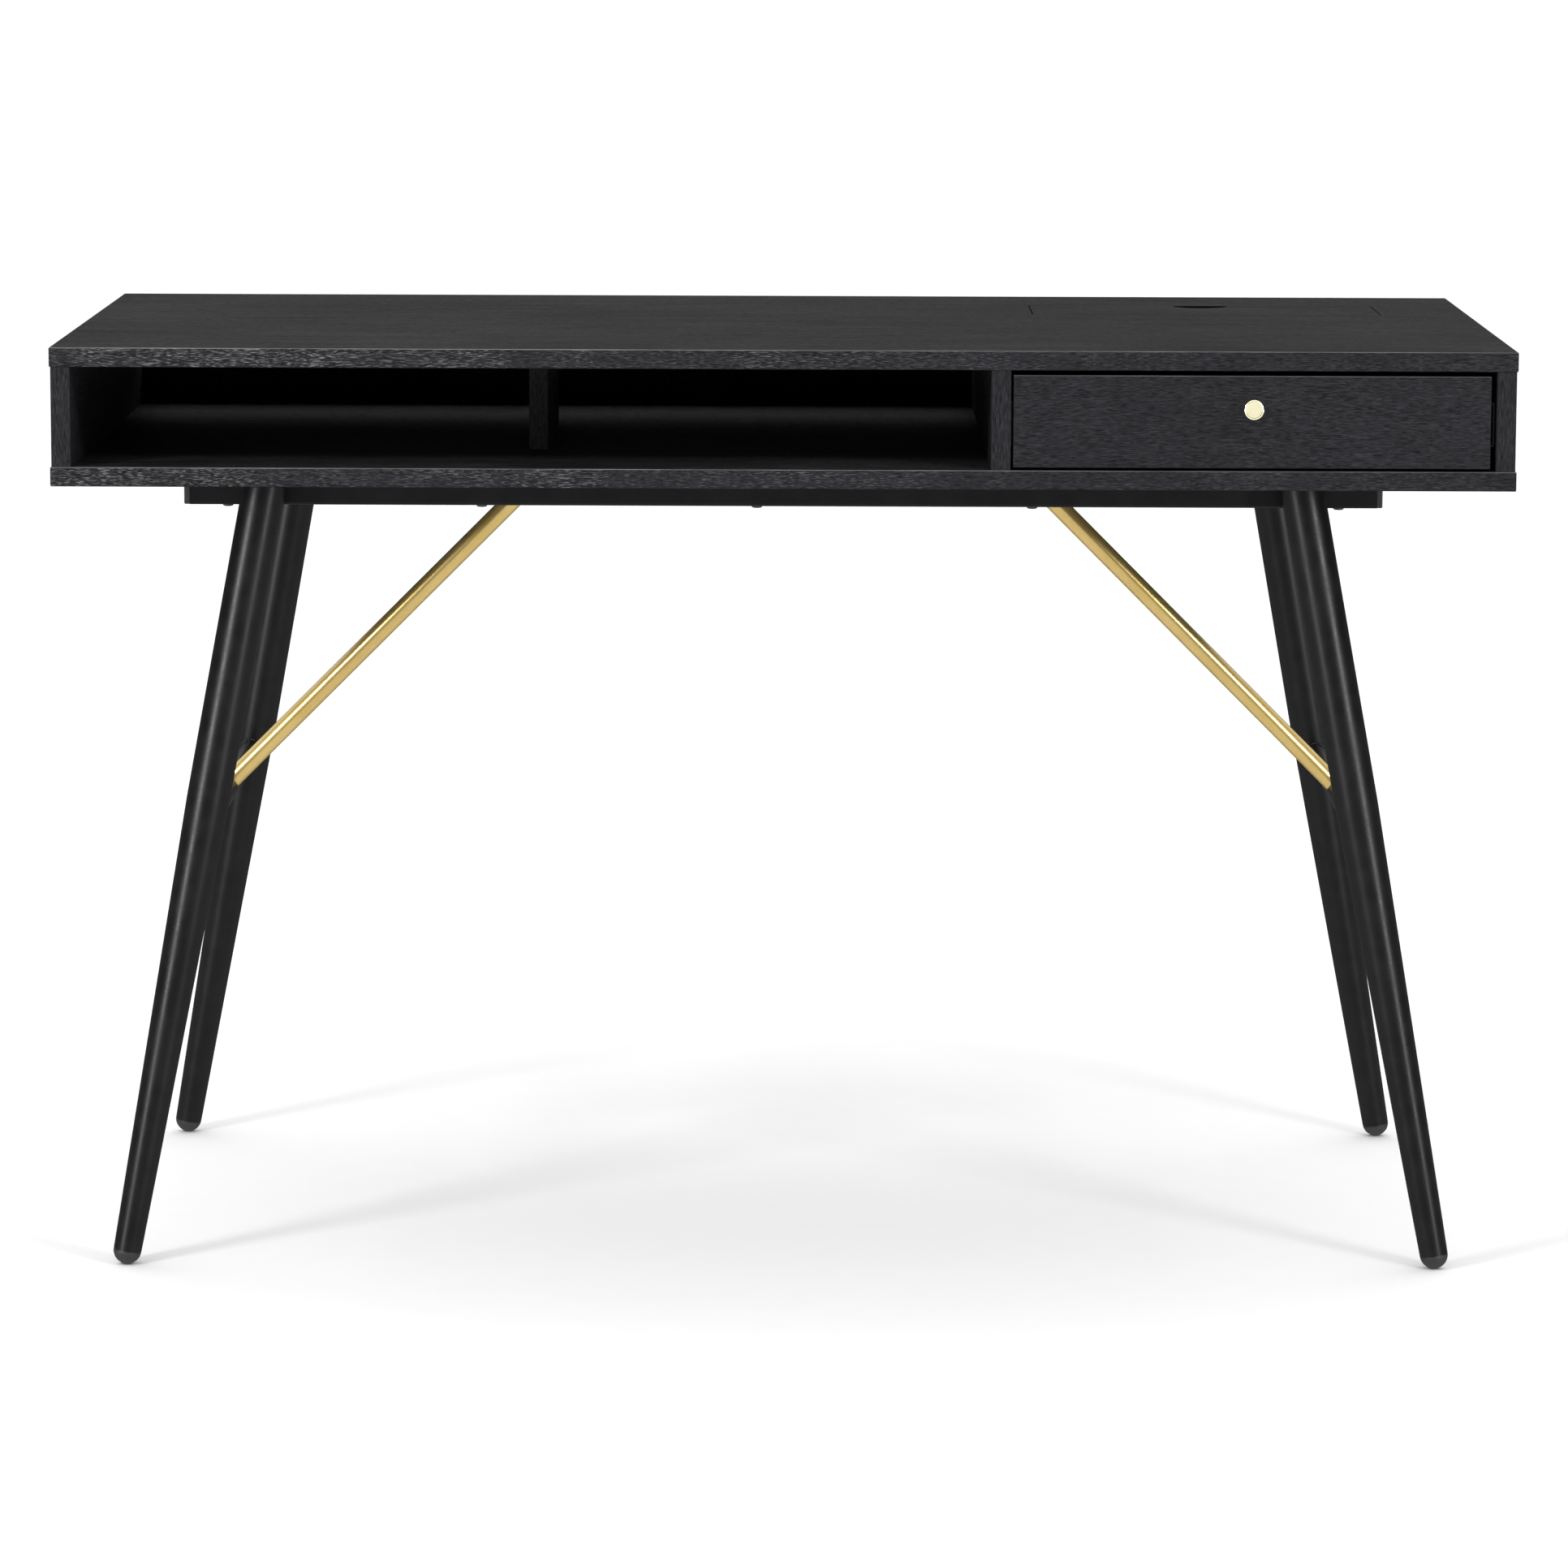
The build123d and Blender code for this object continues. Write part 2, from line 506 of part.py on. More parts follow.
def ball_rows(hand):
    """Each ball row as (x, z), between the case and middle members and inside the middle one."""
    wall, side = runner_walls(hand)
    outer = (RUNNER_HALF_HEIGHTS[0] - RUNNER_SHEET + RUNNER_HALF_HEIGHTS[1]) / 2
    inner = (RUNNER_HALF_HEIGHTS[1] - RUNNER_SHEET + RUNNER_HALF_HEIGHTS[2]) / 2
    rows = [(wall + side * (MIDDLE_SPAN[0] + CASE_FLANGE) / 2, RUNNER_Z + s * outer) for s in (1, -1)]
    rows += [(wall + side * (MIDDLE_SPAN[1] + DRAWER_FLANGE) / 2, RUNNER_Z + s * inner) for s in (1, -1)]
    return rows


def ball_points(x, z):
    middle = RUNNER_START + (RUNNER_LENGTH - RUNNER_SHORTER) / 2
    offsets = [(i - (BALLS_PER_ROW - 1) / 2) * BALL_PITCH for i in range(BALLS_PER_ROW)]
    return [(x, FRONT_Y + middle + d, z) for d in offsets]


def runner_balls(hand):
    return group(Pos(*p) * Sphere(BALL_RADIUS) for x, z in ball_rows(hand) for p in ball_points(x, z))


def runner_ball_cages(hand):
    """Thin plastic strips that keep the balls apart."""
    strips = []
    for x, z in ball_rows(hand):
        points = ball_points(x, z)
        middle = sum(p[1] for p in points) / len(points)
        width, thick = CAGE_STRIP
        strip = Pos(x, middle, z) * Box(width, BALLS_PER_ROW * BALL_PITCH, thick)
        strips.append(strip - [Pos(*p) * Cylinder(BALL_RADIUS + CAGE_PLAY, 2 * thick) for p in points])
    return group(strips)


def case_runner_screws():
    screws = []
    for hand in ("left", "right"):
        wall, side = runner_walls(hand)
        screws += [screw(p, (-side, 0, 0), *RUNNER_SCREW) for p in runner_screw_places(wall, -side)]
    return group(screws)


def drawer_runner_screws():
    screws = []
    for hand in ("left", "right"):
        wall, side = runner_walls(hand)
        places = runner_screw_places(wall + side * RUNNER_WIDTH, side)
        screws += [screw(p, (side, 0, 0), *RUNNER_SCREW) for p in places]
    return group(screws)


# ---- under-frame rails ---------------------------------------------------------------------------------
LEG_SCREW = (4.0, 2.0, 2.0, 13.0)
LEG_SCREW_INSET = 5.0  # from the plate's edges
PLATE_CORNER = 5.0
RAIL_SCREW = (4.5, 2.0, 2.0, 37.0)
CORNER = 2.5
GLIDE_SPIGOT = 18.0
FRONT_RAIL_Y = FRONT_Y + RAIL_SETBACK + RAIL_DEPTH / 2
REAR_RAIL_Y = 2 * MID_Y - FRONT_RAIL_Y


def rail_screw_places(z):
    return [(x, y, z) for x in RAIL_SCREWS_X for y in (FRONT_RAIL_Y, REAR_RAIL_Y)]


def box_tube(wide, high, length):
    """A square-cornered steel tube along Z, centred, with rounded outer corners."""
    outer = RectangleRounded(wide, high, CORNER)
    inner = RectangleRounded(wide - 2 * TUBE_WALL, high - 2 * TUBE_WALL, CORNER - TUBE_WALL)
    return extrude(outer - inner, length / 2, both=True)


def long_rail(y):
    """A rail along X under the case, drilled for the screws that go up into the bottom slab."""
    tube = box_tube(RAIL_DEPTH, RAIL_HEIGHT, 2 * (RAIL_HALF_LENGTH - END_PLUG))
    middle = Plane(origin=(0, y, UNDERSIDE - RAIL_HEIGHT / 2), x_dir=(0, 1, 0), z_dir=(1, 0, 0))
    radius, reach = RAIL_SCREW[2] + BOLT_PLAY, RAIL_HEIGHT + PLAY
    return middle * tube - [screw_hole((x, y, RAIL_BOTTOM), UP, radius, reach) for x in RAIL_SCREWS_X]


def cross_rail(side):
    """A rail along Y between the long rails, which carries a brace's end plate."""
    length = REAR_RAIL_Y - FRONT_RAIL_Y - RAIL_DEPTH
    tube = box_tube(CROSS_RAIL_WIDTH, RAIL_HEIGHT, length)
    at = (side * CROSS_RAIL_X, MID_Y, UNDERSIDE - RAIL_HEIGHT / 2)
    middle = Plane(origin=at, x_dir=(1, 0, 0), z_dir=(0, 1, 0))
    radius, reach = BRACE_SCREW[2] + FIT, BRACE_SCREW[3] + PLAY
    return middle * tube - [screw_hole(p, UP, radius, reach) for p in brace_screw_places(side)]


def rail_end_plugs():
    """Plastic plugs in the open ends of the long rails."""
    plugs = []
    inset = 2 * TUBE_WALL + BOLT_PLAY
    for y in (FRONT_RAIL_Y, REAR_RAIL_Y):
        for side in (-1, 1):
            lip = 2 * BOLT_PLAY
            cap = extrude(RectangleRounded(RAIL_DEPTH - lip, RAIL_HEIGHT - lip, CORNER), END_PLUG)
            cap = fillet(cap.faces().sort_by(Axis.Z)[-1].edges(), EDGE_EASE)
            insert = RectangleRounded(RAIL_DEPTH - inset, RAIL_HEIGHT - inset, CORNER - TUBE_WALL)
            plug = cap + extrude(insert, -END_PLUG_INSERT)
            at = (side * (RAIL_HALF_LENGTH - END_PLUG), y, UNDERSIDE - RAIL_HEIGHT / 2)
            plugs.append(Plane(origin=at, x_dir=(0, 1, 0), z_dir=(side, 0, 0)) * plug)
    return group(plugs)


def rail_screws():
    return group(screw(p, UP, *RAIL_SCREW) for p in rail_screw_places(RAIL_BOTTOM))


# ---- legs, stretchers and braces -----------------------------------------------------------------------
CORNERS = {
    "front_left": (-1, -1),
    "front_right": (1, -1),
    "rear_left": (-1, 1),
    "rear_right": (1, 1),
}


def leg_point(corner, z):
    """The leg's axis at a height."""
    sx, sy = CORNERS[corner]
    t = 1 - z / UNDERSIDE
    x = LEG_TOP[0] + (LEG_FOOT[0] - LEG_TOP[0]) * t
    y = LEG_TOP[1] + (LEG_FOOT[1] - LEG_TOP[1]) * t
    return (sx * x, MID_Y + sy * y, z)


def leg_plane(corner):
    """Origin at the middle of the ball foot, Z up along the leg."""
    foot = Vector(*leg_point(corner, LEG_FOOT_DIAMETER / 2))
    return Plane(origin=foot, z_dir=Vector(*leg_point(corner, UNDERSIDE)) - foot)


def leg_body(corner, grow=0.0, hollow=True):
    """The tapered tube along its axis, running past the underside until it is cut off."""
    tilt = hypot(LEG_FOOT[0] - LEG_TOP[0], LEG_FOOT[1] - LEG_TOP[1]) / UNDERSIDE
    stretch = sqrt(1 + tilt * tilt)
    foot, full = LEG_FOOT_DIAMETER / 2 + grow, LEG_DIAMETER / 2 + grow
    taper_top = (LEG_TAPER_HEIGHT - LEG_FOOT_DIAMETER / 2) * stretch
    top = UNDERSIDE * stretch
    outline = [(foot, 0), (full, taper_top), (full, top)]
    if hollow:
        outline += [(r - LEG_WALL, t) for r, t in reversed(outline)]
    else:
        outline += [(0, top), (0, 0)]
    tube = revolve(Plane.XZ * make_face(Polyline(*outline, close=True)), Axis.Z)
    return leg_plane(corner) * tube


def leg_plate_middle(corner):
    x, y, _ = leg_point(corner, UNDERSIDE)
    return (x, y, UNDERSIDE - LEG_PLATE[2] / 2)


def leg_screw_places(z, corners=CORNERS):
    """Four screws through each leg's top plate."""
    out = []
    for corner in corners:
        x, y, _ = leg_plate_middle(corner)
        reach = (LEG_PLATE[0] / 2 - LEG_SCREW_INSET, LEG_PLATE[1] / 2 - LEG_SCREW_INSET)
        out += [(x + i * reach[0], y + j * reach[1], z) for i in (-1, 1) for j in (-1, 1)]
    return out


def leg(corner):
    """Tapered steel tube welded to a thin plate under the case."""
    under = UNDERSIDE - LEG_PLATE[2]
    plate = Pos(*leg_plate_middle(corner)) * Box(*LEG_PLATE)
    plate = fillet(plate.edges().filter_by(Axis.Z), PLATE_CORNER)
    radius, places = LEG_SCREW[2] + BOLT_PLAY, leg_screw_places(under, (corner,))
    holes = [screw_hole(p, UP, radius, LEG_PLATE[2] + PLAY) for p in places]
    return (leg_body(corner) - above(under)) + (plate - holes)


def leg_plate_screws():
    return group(screw(p, UP, *LEG_SCREW) for p in leg_screw_places(UNDERSIDE - LEG_PLATE[2]))


def foot_glide(corner):
    """A half-ball of plastic with a spigot up the end of the leg."""
    radius = LEG_FOOT_DIAMETER / 2
    ball = Sphere(radius) - Pos(0, 0, radius) * Box(3 * radius, 3 * radius, 2 * radius)
    spigot = rod((0, 0, 0), (0, 0, GLIDE_SPIGOT), radius - LEG_WALL - 2 * FIT)
    return leg_plane(corner) * (ball + spigot)


def stretcher_ends(side):
    names = ("front_left", "rear_left") if side < 0 else ("front_right", "rear_right")
    return names, [leg_point(n, STRETCHER_HEIGHT) for n in names]


def stretcher(side):
    """A round tube between the front and the back leg, coped to their sides."""
    names, ends = stretcher_ends(side)
    tube = rod(*ends, STRETCHER_DIAMETER / 2) - rod(*ends, STRETCHER_DIAMETER / 2 - TUBE_WALL)
    legs = [leg_body(n, FIT, hollow=False) for n in names]
    through = (brace_axis_point(side, -STRETCHER_DIAMETER), brace_axis_point(side, STRETCHER_DIAMETER))
    return tube - legs - rod(*through, BRACE_BOLT[2] + BOLT_PLAY)


def brace_axis_point(side, along):
    """A point on the brace's 45 degree axis, counted up from where it passes over the stretcher."""
    x = stretcher_ends(side)[1][0][0]
    step = along * HALF_ROOT
    return (x - side * step, MID_Y, BRACE_AIM_HEIGHT + step)


BRACE_SCREW = (5.0, 3.0, 2.5, 8.0)
BRACE_BOLT = (5.0, 4.0, 3.0, 40.0)
BRACE_BOLT_START = -12.0  # the bolt head's seat just under the stretcher, along the brace's axis
BRACE_SOLID_END = 45.0
BRACE_SCREW_INSET = 9.0


def brace_screw_places(side):
    z = RAIL_BOTTOM - BRACE_PLATE[2]
    reach = BRACE_PLATE[1] / 2 - BRACE_SCREW_INSET
    return [(side * CROSS_RAIL_X, MID_Y + s * reach, z) for s in (-1, 1)]


def brace(side):
    """A brass tube at 45 degrees from the stretcher up to a plate under the cross rail."""
    under = RAIL_BOTTOM - BRACE_PLATE[2]
    top = (under - BRACE_AIM_HEIGHT) / HALF_ROOT + BRACE_DIAMETER
    head = brace_axis_point(side, top)
    tube = rod(brace_axis_point(side, 0), head, BRACE_DIAMETER / 2)
    tube -= rod(brace_axis_point(side, BRACE_SOLID_END), head, BRACE_DIAMETER / 2 - TUBE_WALL)
    bolt = (brace_axis_point(side, 0), brace_axis_point(side, BRACE_BOLT_START + BRACE_BOLT[3] + PLAY))
    thread = rod(*bolt, BRACE_BOLT[2] + FIT)
    seat = rod(*stretcher_ends(side)[1], STRETCHER_DIAMETER / 2 + FIT)
    plate = Pos(side * CROSS_RAIL_X, MID_Y, under + BRACE_PLATE[2] / 2) * Box(*BRACE_PLATE)
    plate = fillet(plate.edges().filter_by(Axis.Z), PLATE_CORNER)
    radius, reach = BRACE_SCREW[2] + BOLT_PLAY, BRACE_PLATE[2] + PLAY
    holes = [screw_hole(p, UP, radius, reach) for p in brace_screw_places(side)]
    return (tube - above(under) - seat - thread) + (plate - holes)


def brace_bolts():
    """Bolts up through the stretchers into the braces' solid ends."""
    return group(screw(brace_axis_point(s, BRACE_BOLT_START), (-s, 0, 1), *BRACE_BOLT) for s in (-1, 1))


def brace_plate_screws():
    return group(screw(p, UP, *BRACE_SCREW) for s in (-1, 1) for p in brace_screw_places(s))


# ---- the nodes -------------------------------------------------------------------------------------------
NODES = {
    "top_panel": top_panel,
    "bottom_panel": bottom_panel,
    "left_side_panel": left_side_panel,
    "right_side_panel": right_side_panel,
    "drawer_divider": drawer_divider,
    "shelf_divider": shelf_divider,
    "cubby_back_rail": cubby_back_rail,
    "cable_bay_partition": cable_bay_partition,
    "drawer_bay_back_panel": drawer_bay_back_panel,
    "case_dowels": case_dowels,
    "flap_rest_cleats": flap_rest_cleats,
    "flap_cleat_screws": flap_cleat_screws,
    "flap_hinge_bushes": flap_hinge_bushes,
    "flap_pivot_pins": flap_pivot_pins,
    "cable_flap": cable_flap,
    "drawer_front": drawer_front,
    "drawer_left_side": drawer_left_side,
    "drawer_right_side": drawer_right_side,
    "drawer_back": drawer_back,
    "drawer_bottom": drawer_bottom,
    "drawer_dowels": drawer_dowels,
    "drawer_knob": drawer_knob,
    "knob_screw": knob_screw,
    "case_runner_screws": case_runner_screws,
    "drawer_runner_screws": drawer_runner_screws,
    "front_rail": lambda: long_rail(FRONT_RAIL_Y),
    "rear_rail": lambda: long_rail(REAR_RAIL_Y),
    "left_cross_rail": lambda: cross_rail(-1),
    "right_cross_rail": lambda: cross_rail(1),
    "rail_end_plugs": rail_end_plugs,
    "rail_screws": rail_screws,
    "leg_plate_screws": leg_plate_screws,
    "left_stretcher": lambda: stretcher(-1),
    "right_stretcher": lambda: stretcher(1),
    "left_brace": lambda: brace(-1),
    "right_brace": lambda: brace(1),
    "brace_plate_screws": brace_plate_screws,
    "brace_bolts": brace_bolts,
}


def main():
    os.makedirs("parts", exist_ok=True)
    shapes = {name: build() for name, build in NODES.items()}
    for hand in ("left", "right"):
        shapes[f"{hand}_runner_case_member"] = runner_case_member(hand)
        shapes[f"{hand}_runner_middle_member"] = runner_middle_member(hand)
        shapes[f"{hand}_runner_drawer_member"] = runner_drawer_member(hand)
        shapes[f"{hand}_runner_balls"] = runner_balls(hand)
        shapes[f"{hand}_runner_ball_cages"] = runner_ball_cages(hand)
    for corner in CORNERS:
        shapes[f"{corner}_leg"] = leg(corner)
        shapes[f"{corner}_foot_glide"] = foot_glide(corner)
    for name, shape in shapes.items():
        export_step(shape, f"parts/{name}.step")


main()
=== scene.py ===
import json
from math import ceil, cos, pi, radians, sin, sqrt, tau

import bmesh
import bpy
from mathutils import Matrix, Vector
from mathutils.bvhtree import BVHTree

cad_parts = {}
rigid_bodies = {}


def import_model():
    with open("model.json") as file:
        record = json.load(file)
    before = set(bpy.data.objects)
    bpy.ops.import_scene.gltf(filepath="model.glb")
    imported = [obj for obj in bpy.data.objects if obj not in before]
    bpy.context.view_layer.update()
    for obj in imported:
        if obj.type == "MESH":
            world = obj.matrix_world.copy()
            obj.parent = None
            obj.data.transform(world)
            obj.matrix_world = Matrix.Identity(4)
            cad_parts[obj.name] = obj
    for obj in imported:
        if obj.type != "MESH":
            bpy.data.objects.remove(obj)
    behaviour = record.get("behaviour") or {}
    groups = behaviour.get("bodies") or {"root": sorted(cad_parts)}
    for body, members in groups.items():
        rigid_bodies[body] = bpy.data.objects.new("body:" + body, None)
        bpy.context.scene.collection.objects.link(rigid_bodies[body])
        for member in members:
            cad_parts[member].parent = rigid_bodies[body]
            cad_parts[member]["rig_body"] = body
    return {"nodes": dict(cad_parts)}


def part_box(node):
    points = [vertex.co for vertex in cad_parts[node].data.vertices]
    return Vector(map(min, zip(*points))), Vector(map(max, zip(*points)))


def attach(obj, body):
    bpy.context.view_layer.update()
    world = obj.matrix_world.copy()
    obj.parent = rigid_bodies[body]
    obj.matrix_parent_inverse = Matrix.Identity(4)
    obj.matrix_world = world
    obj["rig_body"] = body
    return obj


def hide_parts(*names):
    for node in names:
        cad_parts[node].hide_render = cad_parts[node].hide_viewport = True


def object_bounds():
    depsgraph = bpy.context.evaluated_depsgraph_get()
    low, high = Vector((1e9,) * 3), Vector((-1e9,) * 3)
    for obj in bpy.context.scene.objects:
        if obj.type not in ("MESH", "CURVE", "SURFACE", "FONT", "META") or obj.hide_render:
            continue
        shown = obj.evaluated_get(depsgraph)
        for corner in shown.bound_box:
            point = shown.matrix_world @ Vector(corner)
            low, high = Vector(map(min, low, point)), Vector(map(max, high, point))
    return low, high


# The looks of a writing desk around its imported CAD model: metres, +X right, +Y to the back, +Z up.

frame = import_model()
CAD_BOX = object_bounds()
NODES = frame["nodes"]
MM = 0.001

# ---- camera ------------------------------------------------------------------------------------
CAMERA_DISTANCE = 5.5172  # metres in front of the desk's middle
CAMERA_HEIGHT = 1.2004
CAMERA_RIGHT = 0.0082
CAMERA_PITCH = 8.577  # degrees below the horizon
CAMERA_YAW = 0.073
CAMERA_ROLL = 0.20
CAMERA_LENS = 147.28  # mm


def make_camera():
    data = bpy.data.cameras.new("camera")
    data.lens = CAMERA_LENS
    camera = bpy.data.objects.new("camera", data)
    place = Matrix.Translation((CAMERA_RIGHT, -CAMERA_DISTANCE, CAMERA_HEIGHT))
    yaw = Matrix.Rotation(radians(CAMERA_YAW), 4, "Z")
    pitch = Matrix.Rotation(radians(90 - CAMERA_PITCH), 4, "X")
    roll = Matrix.Rotation(radians(CAMERA_ROLL), 4, "Z")
    camera.matrix_world = place @ (yaw @ pitch) @ roll
    bpy.context.scene.collection.objects.link(camera)
    bpy.context.scene.camera = camera


# ---- node graphs -----------------------------------------------------------------------------------
class Graph:
    """The nodes of a material or of the world. Each method adds a node and returns its output."""

    def __init__(self, tree):
        self.tree = tree

    def add(self, kind, inputs, output=0, **settings):
        node = self.tree.nodes.new(kind)
        for key, value in settings.items():
            setattr(node, key, value)
        for key, value in inputs.items():
            if isinstance(value, bpy.types.NodeSocket):
                self.tree.links.new(value, node.inputs[key])
            else:
                node.inputs[key].default_value = value
        return node.outputs[output]

    def math(self, operation, a, b=0.0):
        return self.add("ShaderNodeMath", {0: a, 1: b}, operation=operation)

    def plus(self, a, b):
        return self.math("ADD", a, b)

    def times(self, a, b):
        return self.math("MULTIPLY", a, b)

    def vector(self, operation, a, b=(0, 0, 0)):
        return self.add("ShaderNodeVectorMath", {0: a, 1: b}, operation=operation)

    def split(self, vector):
        node = self.tree.nodes.new("ShaderNodeSeparateXYZ")
        self.tree.links.new(vector, node.inputs[0])
        return node.outputs

    def join(self, x, y, z):
        return self.add("ShaderNodeCombineXYZ", {0: x, 1: y, 2: z})

    def noise(self, place, scale, detail=2.0, roughness=0.5, distortion=0.0):
        inputs = {"Vector": place, "Scale": scale, "Detail": detail, "Roughness": roughness}
        return self.add("ShaderNodeTexNoise", {**inputs, "Distortion": distortion})

    def span(self, value, low, high, to_low=0.0, to_high=1.0):
        """The value carried from one range to another, and held at its ends."""
        return self.add("ShaderNodeMapRange", {0: value, 1: low, 2: high, 3: to_low, 4: to_high})

    def mix(self, factor, a, b):
        """Blends two colours."""
        return self.add("ShaderNodeMix", {0: factor, 6: a, 7: b}, output=2, data_type="RGBA")

    def pick(self, factor, a, b):
        """Blends two vectors."""
        return self.add("ShaderNodeMix", {0: factor, 4: a, 5: b}, output=1, data_type="VECTOR")


class Paint(Graph):
    """A material that is laid out by the places and normals of the object at rest."""

    def __init__(self, name, **values):
        self.material = bpy.data.materials.new(name)
        self.material.use_nodes = True
        super().__init__(self.material.node_tree)
        self.shader = self.tree.nodes["Principled BSDF"]
        coordinates = self.tree.nodes.new("ShaderNodeTexCoord")
        self.place = coordinates.outputs["Object"]
        self.facing = coordinates.outputs["Normal"]
        for key, value in values.items():
            self.shader.inputs[key.replace("_", " ")].default_value = value

    def faces(self):
        """The normal's size along X, Y and Z, without its sign."""
        return self.split(self.vector("ABSOLUTE", self.facing))

    def arris(self, wide=0.97, tight=0.80):
        """1 on rounded edges and 0 on flat faces square to the axes."""
        x, y, z = self.faces()
        flat = self.math("MAXIMUM", self.math("MAXIMUM", x, y), z)
        return self.span(flat, wide, tight)

    def gloss(self, slow, low, high, fine, spread):
        """Roughness that goes from low to high with a slow noise, and up and down with a fine one."""
        drift = self.span(slow, 0.3, 0.7, low, high)
        return self.plus(drift, self.span(fine, 0.3, 0.7, -spread, spread))

    def finish(self, colour, roughness, height=None, distance=0.0001, strength=1.0):
        self.tree.links.new(colour, self.shader.inputs["Base Color"])
        self.tree.links.new(roughness, self.shader.inputs["Roughness"])
        if height is not None:
            inputs = {"Strength": strength, "Distance": distance, "Height": height}
            self.tree.links.new(self.add("ShaderNodeBump", inputs), self.shader.inputs["Normal"])
        return self.material


def grey(value, warmth=0.0):
    """A colour near grey; warmth shifts it from blue to red."""
    return (value * (1 + warmth), value, value * (1 - warmth), 1)


# ---- wood ----------------------------------------------------------------------------------------
AXES = {"X": Vector((1, 0, 0)), "Y": Vector((0, 1, 0)), "Z": Vector((0, 0, 1))}
STAIN_DARK = (0.0010, 0.0010, 0.0011, 1)
STAIN_LIGHT = (0.0240, 0.0240, 0.0242, 1)
UPRIGHT_LIT_DARK = (0.0115, 0.0112, 0.0133, 1)  # painted light: upright faces lighter and violet, for cool front light
UPRIGHT_LIT_LIGHT = (0.0285, 0.0277, 0.0321, 1)
RIDGE = (0.0480, 0.0466, 0.0535, 1)
PORE = (0.0060, 0.0060, 0.0068, 1)
# light dashes in the grain, brightened as a painted glint where the key light catches them
DASH_GLINT = (0.2700, 0.2650, 0.2780, 1)
# painted highlight on the upper arrises
ARRIS_HIGHLIGHT = (0.3000, 0.2970, 0.3060, 1)
# painted shade: near black for the upright cut edges inside a board, where its seams and notch lie in
# shade
CUT_SHADE = (0.0012, 0.0012, 0.0012, 1)
CUT_INSET = 4.0 * MM  # a cut edge lies at least this far inside its board's outline
SQUARE = 0.7  # a face looks along an axis if its normal reaches this far along it
SWAY = 5.0 * MM  # how far the grain wanders


def grain_place(graph, grain, stretch):
    """Places squeezed along each face's grain; grain maps the axis a face looks along to its grain's."""
    def squeeze(axis):
        return Vector((1, 1, 1)) - AXES[axis] * (1 - 1 / stretch)

    sway = graph.noise(graph.place, 7.0, detail=1.0)
    sway = graph.vector("MULTIPLY", graph.join(sway, sway, sway), (SWAY, SWAY, SWAY))
    swayed = graph.vector("ADD", graph.place, sway)
    x, y, _ = graph.faces()
    side = graph.math("GREATER_THAN", x, SQUARE)
    front = graph.math("GREATER_THAN", y, SQUARE)
    squeezed = graph.pick(side, squeeze(grain["Z"]), squeeze(grain["X"]))
    return graph.vector("MULTIPLY", swayed, graph.pick(front, squeezed, squeeze(grain["Y"])))


def cut_edges(graph, board):
    """1 on the upright faces inside a board's outline, such as the edges of a hole, and 0 elsewhere."""
    low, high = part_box(board)
    off_middle = graph.vector("SUBTRACT", graph.place, tuple((low + high) / 2))
    x, y, _ = graph.split(graph.vector("ABSOLUTE", off_middle))
    reach = (high - low) / 2 - Vector((CUT_INSET, CUT_INSET, 0))
    inside = graph.times(graph.math("LESS_THAN", x, reach.x), graph.math("LESS_THAN", y, reach.y))
    _, _, level = graph.faces()
    return graph.times(inside, graph.math("LESS_THAN", level, SQUARE))


